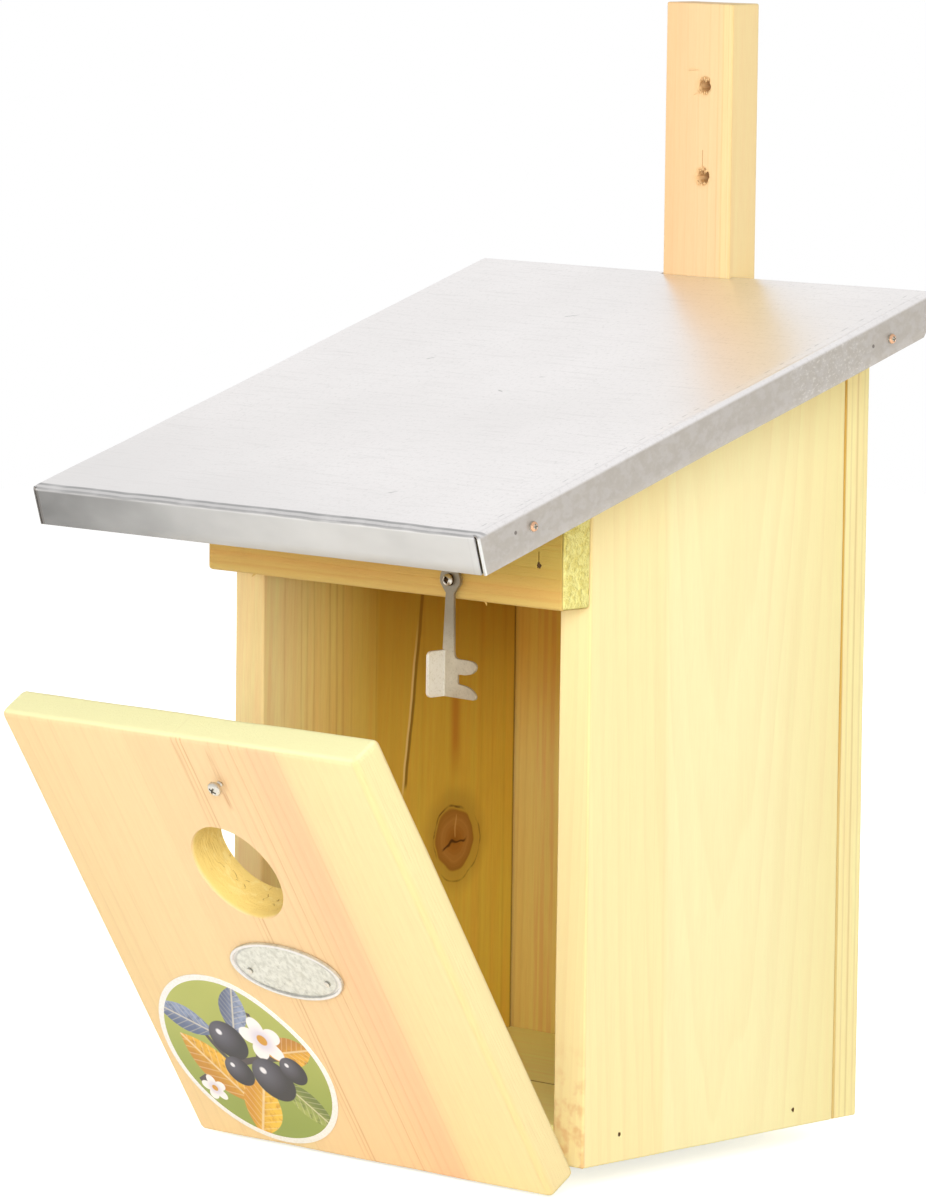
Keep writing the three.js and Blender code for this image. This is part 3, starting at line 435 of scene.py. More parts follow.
def added(name, data):
    """A new object in the scene."""
    made = bpy.data.objects.new(name, data)
    bpy.context.scene.collection.objects.link(made)
    return made


def add_camera():
    data = bpy.data.cameras.new("camera")
    data.sensor_width = SENSOR
    data.lens = CAMERA_FOCUS_PIXELS * SENSOR / PHOTO_HEIGHT_PIXELS
    data.clip_end = CAMERA_CLIP_METRES
    camera = added("camera", data)
    right, down, forward = (Vector(v).normalized() for v in (CAMERA_RIGHT, CAMERA_DOWN, CAMERA_FORWARD))
    turn = Matrix((right, -down, -forward)).transposed().to_4x4()
    camera.matrix_world = CASE_PLACE @ Matrix.Translation(Vector(CAMERA_PLACE) * MM) @ turn
    bpy.context.scene.camera = camera


def finish_backdrop(shader, usual, seen):
    """Ends a tree with one shader, or another for the rays that see the white background.

    Those are the camera's rays, and those off metal and through glass.
    """
    kinds = ("Is Camera Ray", "Is Glossy Ray", "Is Transmission Ray")
    share = largest(*(shader.node("ShaderNodeLightPath", {}, kind) for kind in kinds))
    shader.put(shader.output.inputs[0], shader.node("ShaderNodeMixShader", {0: share, 1: usual, 2: seen}))


def add_world():
    shader = Shader("studio", "world")
    lights = [shader.node("ShaderNodeBackground", {"Color": tint, "Strength": strength})
              for tint, strength in ((WORLD_TINT, WORLD_STRENGTH), (WHITE, 1))]
    finish_backdrop(shader, *lights)
    bpy.context.scene.world = shader.owner


def add_floor():
    shader = Shader("pale_floor")
    shader.set(Base_Color=FLOOR_TINT, Roughness=0.9)
    surface = Field(shader, shader.surface.outputs[0])
    glow = shader.node("ShaderNodeEmission", {"Color": WHITE, "Strength": FLOOR_GLOW})
    finish_backdrop(shader, surface, shader.node("ShaderNodeAddShader", {0: glow, 1: surface}))
    bm = bmesh.new()
    level = CAD_BOX[0].z
    corners = ((-1, -1), (1, -1), (1, 1), (-1, 1))
    reach = FLOOR_HALF_SIZE * MM
    bm.faces.new([bm.verts.new((a * reach, b * reach, level)) for a, b in corners])
    mesh = bpy.data.meshes.new("floor")
    bm.to_mesh(mesh)
    bm.free()
    mesh.materials.append(shader.owner)
    added("floor", mesh)


def add_lamps():
    for name, place, size, power in LAMPS:
        data = bpy.data.lights.new(name, "AREA")
        data.shape = "DISK"
        data.size = size * MM
        data.energy = power
        data.color = LAMP_TINT
        lamp = added(name, data)
        lamp.visible_glossy = False
        at = CASE_PLACE @ (Vector(place) * MM)
        aim = CASE_PLACE @ (Vector(LAMP_TARGET) * MM)
        lamp.matrix_world = Matrix.Translation(at) @ (aim - at).to_track_quat("-Z", "Y").to_matrix().to_4x4()


# Mesh helpers.
WOOD_STEP = 9.0
WOOD_WAVE = 0.16
WOOD_WAVE_RATE = 0.07
WAVE_SEED = 3
COMBINE_TRIES = 5
COMBINE_HAIR = (0.0013, 0.0021, 0.0017)
COMBINE_SPREAD = 0.3
CUT_VOLUME_SHARES = (0.7, 1.001)
UNION_VOLUME_SHARES = (1.001, 3)

noise.seed_set(WAVE_SEED)


def ringed(rings):
    """A solid through rings of points, each joined to the next. A ring may be a single point."""
    bm = bmesh.new()
    rows = [[bm.verts.new(Vector(point) * MM) for point in ring] for ring in rings]
    if len(rows[0]) > 1:
        bm.faces.new(rows[0])
        bm.faces.new(rows[-1][::-1])
    for lower, upper in zip(rows, rows[1:]):
        sides = max(len(lower), len(upper))
        for side in range(sides):
            after = (side + 1) % sides
            corners = [lower[side % len(lower)], upper[side % len(upper)]]
            corners += [upper[after % len(upper)], lower[after % len(lower)]]
            bm.faces.new(list(dict.fromkeys(corners)))
    bmesh.ops.recalc_face_normals(bm, faces=bm.faces)
    return bm


def swept(outline, axis, low, high):
    """A solid with a flat outline, swept along an axis. A point of the outline gives the other two axes."""
    return ringed([[(*pair[:axis], place, *pair[axis:]) for pair in outline] for place in (low, high)])


def block(low, high):
    outline = [(low[1], low[2]), (high[1], low[2]), (high[1], high[2]), (low[1], high[2])]
    return swept(outline, 0, low[0], high[0])


def turned(profile, sides, place, wobble=0.0, seed=0.0):
    """A solid turned round the local Z axis from pairs of radius and height, and moved by a matrix."""
    rings = []
    for radius, height in profile:
        ring = []
        for side in range(sides if radius else 1):
            angle = 2 * math.pi * side / sides
            way = Vector((math.cos(angle), math.sin(angle), 0))
            uneven = 1 + wobble * noise.noise(way * 2.4 + Vector((seed, 0, height * 0.8)))
            ring.append(way * radius * uneven + Vector((0, 0, height)))
        rings.append(ring)
    bm = ringed(rings)
    bm.transform(place)
    return bm


def arc(x, z, radius, start, end, steps):
    """Points round a middle, from a start angle to an end angle in degrees."""
    angles = [math.radians(start + (end - start) * step / steps) for step in range(steps + 1)]
    return [(x + radius * math.cos(angle), z + radius * math.sin(angle)) for angle in angles]


def facing(way, x, y, z):
    """A turned solid's axis along a way, from a place."""
    turn = Vector(way).to_track_quat("Z", "Y").to_matrix().to_4x4()
    return Matrix.Translation(Vector((x, y, z)) * MM) @ turn


def rounded(bm, width, segments=3):
    """Rounds a solid's sharp edges."""
    sharp = [edge for edge in bm.edges if edge.calc_face_angle(0) > SHARP_ANGLE]
    bmesh.ops.bevel(bm, geom=sharp, offset=width * MM, segments=segments, profile=0.5, affect="EDGES")
    return bm


def weathered(bm, bevel, seed):
    """Gives a board softly rounded, slightly uneven edges."""
    for _ in range(3):
        long_edges = [edge for edge in bm.edges if edge.calc_length() > 2 * WOOD_STEP * MM]
        if not long_edges:
            break
        bmesh.ops.subdivide_edges(bm, edges=long_edges, cuts=1, use_grid_fill=True)
    for vertex in bm.verts:
        point = vertex.co / MM * WOOD_WAVE_RATE + Vector((seed, seed, seed))
        vertex.co += noise.noise_vector(point) * WOOD_WAVE * MM
    return rounded(bm, bevel)


def temporary(bm):
    mesh = bpy.data.meshes.new("temporary")
    bm.to_mesh(mesh)
    bm.free()
    return added("temporary", mesh)


def combined(bm, others, operation, least, most):
    """The solid with other solids cut out of it or added to it.

    The result's volume has to lie between two shares of the first solid's. Where it doesn't, because faces
    lie too exactly in one plane, the others are moved by a hair and combined again.
    """
    volume = bm.calc_volume()
    body = temporary(bm)
    tools = [temporary(other) for other in others]
    for tool in tools:
        modifier = body.modifiers.new("combine", "BOOLEAN")
        modifier.operation = operation
        modifier.solver = "EXACT"
        modifier.object = tool
    result = bmesh.new()
    for attempt in range(COMBINE_TRIES):
        for index, tool in enumerate(tools):
            tool.location = Vector(COMBINE_HAIR) * (attempt * (1 + COMBINE_SPREAD * index) * MM)
        bpy.context.view_layer.update()
        shaped = body.evaluated_get(bpy.context.evaluated_depsgraph_get())
        result.clear()
        result.from_mesh(shaped.data)
        if least < result.calc_volume() / volume < most:
            break
    else:
        raise RuntimeError("solids could not be combined")
    for made in (body, *tools):
        mesh = made.data
        bpy.data.objects.remove(made)
        bpy.data.meshes.remove(mesh)
    return result


def cut(bm, cutters):
    return combined(bm, cutters, "DIFFERENCE", *CUT_VOLUME_SHARES)


def united(bm, others):
    return combined(bm, others, "UNION", *UNION_VOLUME_SHARES)


SPLINTER_SHARES = ((0, 0), (1, 0.12), (0.75, 0.5), (0.35, 0.8), (0, 1))
SPLINTER_SIDES = 5
SPLINTER_WOBBLE = 0.4


def splinter(x, y, z, way, length, thickness):
    """A torn fibre that starts at a place."""
    profile = [(radius * thickness, height * length) for radius, height in SPLINTER_SHARES]
    return turned(profile, SPLINTER_SIDES, facing(way, x, y, z), SPLINTER_WOBBLE, x + z)


def merged(parts):
    whole = bmesh.new()
    for part in parts:
        mesh = bpy.data.meshes.new("part")
        part.to_mesh(mesh)
        part.free()
        whole.from_mesh(mesh)
        bpy.data.meshes.remove(mesh)
    return whole


def piece(name, node, bm, materials, body):
    """Makes a piece of the object that rides on a body and stands for a node of the frame."""
    mesh = bpy.data.meshes.new(name)
    bm.to_mesh(mesh)
    bm.free()
    for material in materials:
        mesh.materials.append(material)
    mesh.shade_smooth()
    mesh.set_sharp_from_angle(angle=SHARP_ANGLE)
    made = added(name, mesh)
    made.matrix_world = BODY_PLACES[body]
    weighted = made.modifiers.new("even_faces", "WEIGHTED_NORMAL")
    weighted.keep_sharp = True
    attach(made, body)
    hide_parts(node)
    return made


def roof_point(along, up):
    y = along * math.cos(ROOF_SLOPE) - up * math.sin(ROOF_SLOPE)
    z = SIDE_FRONT_HEIGHT + along * math.sin(ROOF_SLOPE) + up * math.cos(ROOF_SLOPE)
    return y, z


def side_top(y):
    return SIDE_FRONT_HEIGHT + y * math.tan(ROOF_SLOPE)


# The boards of the case. Tints and lines give distances over the board's shown face. A line's other two
# numbers are its half width and its strength.
RIGHT_LINES = ((8, 0.6, 0.35), (12, 0.5, 0.3), (18, 0.7, 0.4), (26, 0.6, 0.35), (30, 0.5, 0.3),
               (34, 0.9, 0.4))
RIGHT_TINTS = ((0, "fdecb2"), (34, "fdeeb4"), (36, "fdf2bc"), (80, "fdf2bb"), (111, "fbecae"))
LEFT_LINES = ((9.5, 0.5, 0.35), (16.6, 0.5, 0.7), (19, 0.6, 0.6), (22, 0.5, 0.7), (25, 0.4, 0.4),
              (29.5, 0.6, 0.6), (32.4, 0.5, 0.8), (35, 0.6, 0.7), (38.5, 0.5, 0.4), (49.2, 0.5, 1.0),
              (70, 1.4, 0.3), (96, 1.6, 0.4), (101, 0.6, 0.3), (106.5, 1.2, 0.4))
LEFT_TINTS = ((0, "fbe3a4"), (3, "fbe4a8"), (6, "fdecb2"), (80, "fdf0b8"), (111, "fbecae"))
# Painted shade deeper inside the box, over the inner face's own golden tone.
# How the left board's inner face darkens from its front edge to its back.
INNER_TONE_AND_SHADE_SHARES = ((0.0, WHITE), (0.06, (1, 0.98, 0.88, 1)), (0.21, (0.97, 0.87, 0.58, 1)),
                     (0.36, (0.86, 0.71, 0.31, 1)), (0.44, (0.82, 0.65, 0.22, 1)),
                     (0.45, (0.78, 0.58, 0.16, 1)), (0.72, (0.84, 0.64, 0.16, 1)), (1.0, (0.9, 0.71, 0.2, 1)))
# Painted light low down and painted shade high up on the inner face.
# Where the inner face is lighter or darker: from and to a height, from and to a depth, and the factors.
LEFT_PAINTED_LIGHT_AND_SHADE = (((95, 40), (40, 60), (1.07, 1.13, 1.3)), ((112, 150), (40, 90), (0.88, 0.82, 0.68)))
# Painted shade high up inside, in brown: from and to a height, from and to a depth, colour and strength.
LEFT_HIGH_SHADE = ((95, 165), (30, 52), "b07a20", 0.5)
# The stain over the knot: its middle, half length and soft end, back and up, with colour and strength.
LEFT_STAIN = ((84, 0.2, 3.5), (109, 4, 18), "c8742c", 0.6)
# The split and the pale line in front of it: depth at the foot and height, each a middle, a half length and a
# soft end, with colour and strength.
SPLIT_SLANT = -0.112
SPLIT_DARK = ((51.9, 0.3, 0.7), (122, 30, 3), "6b4614", 0.7)
SPLIT_PALE = ((50.9, 0.2, 0.5), (110, 14, 20), "fbe2a0", 0.7)
KNOT_PLACE = (84, 72.6)
KNOT_RADII = (8.4, 9.8)
BACK_LINES = tuple((4.5 + 6.3 * index + 1.8 * math.sin(index * 2.3), 0.7, 0.3 + 0.2 * math.sin(index * 1.3))
                   for index in range(22))
BACK_TINTS = ((0, "ffe08c"), (20, "ffe894"), (60, "ffe890"), (100, "ffe08c"), (142, "fff0b0"))
BACK_STREAKS = ((-49.6, 0.3), (-47.2, 0.5), (-43.6, 0.6))
# Painted shade high up on the back board's inside: where it starts and is full, and its factors.
BACK_SHADE_HEIGHTS = (88, 136)
BACK_SHADE = (0.86, 0.66, 0.30)
# Growth rings that show at the back board's ends: depth, half width and strength.
BACK_END_RINGS = ((0.2, 0.3, 0.6), (2.9, 0.15, 0.15), (5.6, 0.2, 0.25), (8.6, 0.15, 0.12))
RAIL_LINES = ((2.6, 0.9, 0.7), (12, 0.5, 0.2), (17, 0.6, 0.25), (24, 0.5, 0.25), (30, 0.6, 0.3))
# The rail's golden tone, paler at its lower edge and darker upwards: partly painted shade under the roof.
RAIL_TONE_AND_SHADE = ((0, "e6c878"), (5, "e0b868"), (10, "ceb45e"), (22, "c4b058"), (35, "c8b05e"))
FLOOR_LINES = tuple((6 + 9.1 * index + 2 * math.sin(index * 1.9), 0.8, 0.4) for index in range(11))
FLOOR_TINTS = ((0, "fffcb4"), (50, "fffab0"), (111, "fffcb4"))
ROOF_LINES = tuple((8 + 12.4 * index + 3 * math.sin(index * 2.1), 0.8, 0.4) for index in range(14))
ROOF_TINTS = ((0, "f5e0a4"), (90, "f2da9c"), (177, "f5dea2"))


def right_side_wood():
    wood = Pine("pine_right", (0.037, 0, 1), (HALF_CASE, 0, 0), (HALF_CASE, SIDE_DEPTH, 0), RIGHT_TINTS,
                RIGHT_LINES, pith=(11, 60, 122), late="eac88c", line=0.4, spacing=3.1, rings=0.16,
                blotch=0.08)
    _, y, z = wood.axes
    wear_and_shade = y.step(1.2, 0.3) * z.step(42, 12) * wood.place.noise(0.16, 3).step(0.45, 0.62)
    wood.paint(wear_and_shade, "d98e50", 0.4)
    # Painted shade along the panel's front outer edge.
    wood.paint_edge_shade(HALF_CASE, 0, 1)
    return wood


def left_side_wood():
    wood = Pine("pine_left", (0.01, 0.02, 1), (-INNER_HALF, 0, 0), (-INNER_HALF, SIDE_DEPTH, 0), LEFT_TINTS,
                LEFT_LINES, pith=(-42, 80, 90), late="b87c30", line=0.6, spacing=4.4, rings=0.07, blotch=0.34)
    x, y, z = wood.axes
    inner = x.step(-HALF_CASE + 3, -HALF_CASE + 6)

    def stain(across, at, up, code, amount):
        wood.paint(across.band(*at) * z.band(*up) * inner, code, amount)

    # The inner face's golden tone, with painted shade deeper inside.
    wood.shade(inner, (y / SIDE_DEPTH).ramp(INNER_TONE_AND_SHADE_SHARES))
    # Painted light low down and painted shade high up.
    for up, back, factors in LEFT_PAINTED_LIGHT_AND_SHADE:
        wood.shade(z.step(*up) * y.step(*back) * inner, factors)
    stain(y, *LEFT_STAIN)
    slope = y + z * SPLIT_SLANT + wood.place.wave(0.05, 0.7)
    stain(slope, *SPLIT_DARK)
    # Painted brown shade high up inside.
    up, back, code, amount = LEFT_HIGH_SHADE
    wood.paint(z.step(*up) * y.step(*back) * inner, code, amount)
    # A dark line where the back board meets the inner face: painted shade in the corner.
    wood.paint(y.step(SIDE_DEPTH - 1.4, SIDE_DEPTH - 0.5) * inner, "6b4410", 0.7)
    stain(slope, *SPLIT_PALE)
    wood.knot(KNOT_PLACE, KNOT_RADII)
    return wood


def back_wood():
    wood = Pine("pine_back", (0, 0.01, 1), (-HALF_CASE, SIDE_DEPTH, 0), (HALF_CASE, SIDE_DEPTH, 0),
                BACK_TINTS, BACK_LINES, late="c9874a", line=0.5, spacing=3.1, rings=0.06, slant=1.6)
    x, y, z = wood.axes
    inner = y.step(SIDE_DEPTH + 0.6, SIDE_DEPTH + 0.3)
    for middle, half in BACK_STREAKS:
        streak = (x + wood.flow.wave(0.2, 0.3)).band(middle, half, 0.8)
        wood.paint(streak * wood.flow.noise(0.5, 2).step(0.3, 0.6) * inner, "f0a878", 0.35)
    # Painted shade high up inside.
    wood.shade(z.step(*BACK_SHADE_HEIGHTS) * inner, BACK_SHADE)
    ends = abs(x).step(HALF_CASE - 0.8, HALF_CASE - 0.4)
    for depth, half, amount in BACK_END_RINGS:
        wood.paint(y.band(SIDE_DEPTH + depth, half, 0.4) * ends, "b08434", amount)
    return wood


def rail_wood():
    # Its tints hold painted shade under the roof.
    wood = Pine("pine_rail", (1, 0.004, 0.006), (0, RAIL_FRONT, RAIL_LOWER_EDGE),
                (0, RAIL_FRONT, side_top(RAIL_FRONT)), RAIL_TONE_AND_SHADE, RAIL_LINES, late="cf8840", line=0.6,
                spacing=4.4, rings=0.15, blotch=0.2)
    ends = abs(wood.axes[0]).step(HALF_CASE - 0.7, HALF_CASE - 0.2)
    sawn = wood.place.noise(0.6, 3, 0.65)
    wood.paint(ends, "fff6a0")
    wood.paint(ends * sawn.step(0.35, 0.7), "e2d068", 0.7)
    wood.roughen(ends * sawn * 3.0, 0.5)
    return wood


def floor_wood():
    wood = Pine("pine_floor", (1, 0.01, 0), (0, 0, FLOOR_THICKNESS), (0, SIDE_DEPTH, FLOOR_THICKNESS),
                FLOOR_TINTS, FLOOR_LINES, late="e8c878", line=0.3, spacing=4.2, rings=0.06)
    wood.paint(wood.axes[1].band(FLOOR_JOINT + FLOOR_JOINT_GAP / 2, 0.5, 0.3), "6e4e16", 0.7)
    return wood


def roof_wood():
    run = (0, math.cos(ROOF_SLOPE), math.sin(ROOF_SLOPE))
    wood = Pine("pine_roof", run, (ROOF_OFFSET - ROOF_HALF, 0, 0), (ROOF_OFFSET + ROOF_HALF, 0, 0),
                ROOF_TINTS, ROOF_LINES, late="cf9c50", line=0.6, spacing=4.2)
    x, y, _ = wood.axes
    # Painted shadow on the board's front corners, seen through the slits in the sheet.
    corner = abs(x - ROOF_OFFSET).step(ROOF_HALF - 5, ROOF_HALF - 3) * y.step(ROOF_FRONT + 9, ROOF_FRONT + 7)
    wood.paint(corner, "2a2418", 0.95)
    return wood


# Marks at the nails: a narrow pit over each sunk head.
NAIL_PIT_RADIUS = 0.75
NAIL_PIT_DEPTH = 0.35
NAIL_PIT_SHARES = ((0, -1), (0.85, -1), (1.0, -0.4), (1.35, 0))
NAIL_PIT_SIDES = 14
FLOOR_NAIL_PLACES = ((15.9, 8.2), (92.9, 5.2))
RAIL_NAIL_X = 61.5
RAIL_NAIL_Z = 174.0
RAIL_PIT_DEPTH = 0.9
RAIL_PIT_RADIUS = 0.8
# The crack above each rail nail, from the nail's middle: its sides, its depth, its foot and its top.
RAIL_CRACK = (-0.25, 0.3, 0.6, 0.2, 4.0)
BACK_NAIL_X = 65.1
BACK_NAIL_HEIGHTS = (22.0, 113.0, 204.0)
# Torn fibres at the rail's lower edge: place in X, behind the front and above the edge, way, length and
# thickness.
RAIL_TEARS = ((40.5, 0.8, 0.4, (0.6, -0.3, -0.7), 1.8, 0.35), (-52, 1.0, 0.3, (-0.7, -0.2, -0.6), 1.8, 0.3))
# How much each board's edges are eased, and its place in the noise that makes them uneven.
SIDE_EASE = (0.8, 3)
BACK_EASE = (0.7, 11)
FLOOR_EASE = (0.5, 17)
RAIL_EASE = (1.2, 23)
ROOF_EASE = (0.6, 29)
BATTEN_EASE = (0.6, 31)
DOOR_EASE = (2.0, 41)


def nail_pit(way, x, y, z, seed, depth=NAIL_PIT_DEPTH, radius=NAIL_PIT_RADIUS):
    profile = [(share * radius, height * depth) for share, height in NAIL_PIT_SHARES]
    profile += [(profile[-1][0], OVERRUN), (0, OVERRUN)]
    return turned(profile, NAIL_PIT_SIDES, facing(way, x, y, z), 0.5, seed)


def add_sides():
    outline = [(0, 0), (SIDE_DEPTH, 0), (SIDE_DEPTH, side_top(SIDE_DEPTH)), (0, side_top(0))]
    ease, seed = SIDE_EASE
    for side, sign, wood in (("left", -1, left_side_wood()), ("right", 1, right_side_wood())):
        bm = swept(outline, 0, *sorted((sign * INNER_HALF, sign * HALF_CASE)))
        bm = weathered(bm, ease, sign * seed)
        pits = [nail_pit((sign, 0, 0), sign * HALF_CASE, y, z, y) for y, z in FLOOR_NAIL_PLACES]
        piece(f"{side}_side_board", f"{side}_side_panel", cut(bm, pits), [wood.material], "case")


def add_back():
    outline = [(SIDE_DEPTH, 0), (CASE_BACK, 0), (CASE_BACK, side_top(CASE_BACK)),
               (SIDE_DEPTH, side_top(SIDE_DEPTH))]
    bm = weathered(swept(outline, 0, -HALF_CASE, HALF_CASE), *BACK_EASE)
    pits = [nail_pit((0, 1, 0), sign * BACK_NAIL_X, CASE_BACK, z, z + sign)
            for sign in (-1, 1) for z in BACK_NAIL_HEIGHTS]
    piece("back_board", "back_panel", cut(bm, pits), [back_wood().material], "case")


def add_floor_boards():
    wood = floor_wood()
    ease, seed = FLOOR_EASE
    for name, front, back in (("front", 0, FLOOR_JOINT), ("rear", FLOOR_JOINT + FLOOR_JOINT_GAP, SIDE_DEPTH)):
        bm = block((-INNER_HALF, front, 0), (INNER_HALF, back, FLOOR_THICKNESS))
        bm = weathered(bm, ease, front + seed)
        piece(f"floor_{name}_plank", f"floor_{name}_board", bm, [wood.material], "case")


def add_rail():
    outline = [(RAIL_FRONT, RAIL_LOWER_EDGE), (0, RAIL_LOWER_EDGE), (0, side_top(0)),
               (RAIL_FRONT, side_top(RAIL_FRONT))]
    bm = weathered(swept(outline, 0, -HALF_CASE, HALF_CASE), *RAIL_EASE)
    left, right, depth, foot, top = RAIL_CRACK
    tools = []
    for sign in (-1, 1):
        x = sign * RAIL_NAIL_X
        tools.append(nail_pit((0, -1, 0), x, RAIL_FRONT, RAIL_NAIL_Z, sign, RAIL_PIT_DEPTH, RAIL_PIT_RADIUS))
        tools.append(block((x + left, RAIL_FRONT - OVERRUN, RAIL_NAIL_Z + foot),
                           (x + right, RAIL_FRONT + depth, RAIL_NAIL_Z + top)))
    bm = cut(bm, tools)
    torn = [splinter(x, RAIL_FRONT + behind, RAIL_LOWER_EDGE + above, way, length, thickness)
            for x, behind, above, way, length, thickness in RAIL_TEARS]
    piece("front_rail_board", "front_rail", merged([bm, *torn]), [rail_wood().material], "case")


def add_roof_board():
    front = ROOF_FRONT + SHEET_THICKNESS + ROOF_BOARD_LOW
    ends = [(ROOF_BACK + up * math.sin(ROOF_SLOPE)) / math.cos(ROOF_SLOPE)
            for up in (ROOF_BOARD_LOW, ROOF_BOARD_HIGH)]
    outline = [roof_point(front, ROOF_BOARD_LOW), roof_point(ends[0], ROOF_BOARD_LOW),
               roof_point(ends[1], ROOF_BOARD_HIGH), roof_point(front, ROOF_BOARD_HIGH)]
    half = ROOF_HALF - SHEET_THICKNESS - ROOF_BOARD_LOW
    bm = weathered(swept(outline, 0, ROOF_OFFSET - half, ROOF_OFFSET + half), *ROOF_EASE)
    notch = block((BATTEN_LOW_X - NOTCH_GAP, CASE_BACK, SIDE_FRONT_HEIGHT),
                  (BATTEN_HIGH_X + NOTCH_GAP, ROOF_BACK + OVERRUN, BATTEN_HEIGHT))
    piece("roof_plank", "roof_board", cut(bm, [notch]), [roof_wood().material], "case")


# The batten.
BATTEN_LINES = ((4, 0.5, 0.3), (9, 0.5, 0.3), (13.5, 0.6, 0.35), (17.5, 0.5, 0.4), (20.8, 0.5, 0.45),
                (22.6, 0.7, 0.6), (24.8, 0.5, 0.5))
BATTEN_TINTS = ((0, "f2ca97"), (14, "f3d2a0"), (21.5, "f3d4a0"), (23, "f7dca2"), (26.4, "f7dda4"))
BATTEN_SCREW_X = 2.0
BATTEN_SCREW_HEIGHTS = (38.0, 186.0)
BATTEN_SCREW_PIT = 2.95
BATTEN_SCREW_PIT_DEPTH = 0.4
BATTEN_SCREW_PIT_FLARE = 0.2
HOLE_SIDES = 30
# A hanging hole's radius at depths from the wall's side to the front, where the drill tore it wider.
HOLE_PROFILE = ((0, -OVERRUN), (2.3, -OVERRUN), (2.1, 0.6), (1.9, BATTEN_THICKNESS / 2),
                (2.0, BATTEN_THICKNESS - 1.4), (2.3, BATTEN_THICKNESS - 0.4), (2.9, BATTEN_THICKNESS),
                (3.1, BATTEN_THICKNESS + OVERRUN), (0, BATTEN_THICKNESS + OVERRUN))
# Torn fibres above and below a hole: the share of its half width, and their length.
HOLE_TEARS = ((-0.9, 1), (-0.45, 1.6), (0.05, 1.2), (0.5, 1.7), (0.85, 1.0))
TEAR_THICKNESS = 0.28
# The crack above the lower hole: half width, depth, foot and top above the hole's middle.
BATTEN_CRACK = (0.15, 0.6, 1.0, 8.0)
# Splinters near the upper hole: left of it, above it, way, length and thickness.
BATTEN_SPLINTERS = ((6.4, 4.6, (1, -0.08, 0.05), 5.0, 0.35), (4.2, -2.8, (1, -0.1, 0.4), 2.4, 0.3))


def batten_wood():
    wood = Pine("pine_batten", (0.004, 0, 1), (BATTEN_LOW_X, CASE_BACK, 0), (BATTEN_HIGH_X, CASE_BACK, 0),
                BATTEN_TINTS, BATTEN_LINES, late="dfa35e", line=0.6, spacing=3.4, rings=0.1, blotch=0.1)
    x, _, z = wood.axes
    for height in HANGING_HOLE_HEIGHTS:
        away = joined(x - HANGING_HOLE_X, 0, z - height).length()
        wood.paint(away.step(2.2, 4.2, 1.0, 0.0), "e0ac68", 0.25)
        # Darker deep in each hole: painted shade.
        wood.paint(away.step(1.5, 2.2, 1.0, 0.0), "9a6626", 0.8)
    # Painted shade along the batten's right back edge.
    wood.paint_edge_shade(BATTEN_HIGH_X, CASE_BACK, 0.8)
    return wood


def hole_tears(height):
    """Torn fibres above and below a hanging hole."""
    torn = []
    for shift, length in HOLE_TEARS:
        for sign in (-1, 1):
            x = HANGING_HOLE_X + 1.7 * shift + 0.3 * sign
            z = height + sign * (2.1 - 0.5 * abs(shift) + 0.3 * math.sin(height + 7 * shift))
            way = (0.25 * shift, -0.35 + 0.2 * math.sin(5 * shift + height), -sign)
            torn.append(splinter(x, CASE_BACK + 0.1, z + sign * 0.5, way, length, TEAR_THICKNESS))
    return torn


def add_batten():
    bm = block((BATTEN_LOW_X, CASE_BACK, 0), (BATTEN_HIGH_X, WALL_DEPTH, BATTEN_HEIGHT))
    bm = weathered(bm, *BATTEN_EASE)
    tools = []
    torn = []
    for height in HANGING_HOLE_HEIGHTS:
        place = facing((0, -1, 0), HANGING_HOLE_X, WALL_DEPTH, height)
        tools.append(turned(HOLE_PROFILE, HOLE_SIDES, place, 0.34, height))
        torn += hole_tears(height)
    low, high = HANGING_HOLE_HEIGHTS
    half, depth, foot, top = BATTEN_CRACK
    tools.append(block((HANGING_HOLE_X - half, CASE_BACK - OVERRUN, low + foot),
                       (HANGING_HOLE_X + half, CASE_BACK + depth, low + top)))
    torn += [splinter(HANGING_HOLE_X - left, CASE_BACK, high + above, way, length, thickness)
             for left, above, way, length, thickness in BATTEN_SPLINTERS]
    pit = [(0, -BATTEN_SCREW_PIT_DEPTH), (BATTEN_SCREW_PIT, -BATTEN_SCREW_PIT_DEPTH),
           (BATTEN_SCREW_PIT + BATTEN_SCREW_PIT_FLARE, OVERRUN), (0, OVERRUN)]
    for height in BATTEN_SCREW_HEIGHTS:
        tools.append(turned(pit, HOLE_SIDES, facing((0, 1, 0), BATTEN_SCREW_X, WALL_DEPTH, height)))
    piece("batten_board", "hanging_batten", merged([cut(bm, tools), *torn]), [batten_wood().material], "case")


# The door.
DOOR_LINES = ((6.5, 0.5, 0.4), (11.5, 0.5, 0.4), (19.3, 0.5, 0.45), (20.8, 0.5, 0.4), (33, 0.5, 0.4),
              (50, 0.6, 0.3), (69.5, 0.5, 0.9), (71.5, 0.4, 0.8), (73.2, 0.5, 0.95), (84.5, 0.5, 0.5),
              (89, 0.6, 0.5), (92.6, 0.5, 0.6), (94, 0.4, 0.5), (96.4, 0.6, 0.5), (100.5, 0.7, 0.3),
              (104, 0.6, 0.3), (110.4, 0.7, 0.25))
DOOR_TINTS = ((0, "fddda6"), (20, "fddfa9"), (48, "fde0ab"), (51, "fddca8"), (80, "fddaa8"), (96, "fdd8a6"),
              (100, "fdd1a2"), (108, "fdd1a2"), (114, "fde3ab"), (125, "fde7ad"), (142, "fde9af"))
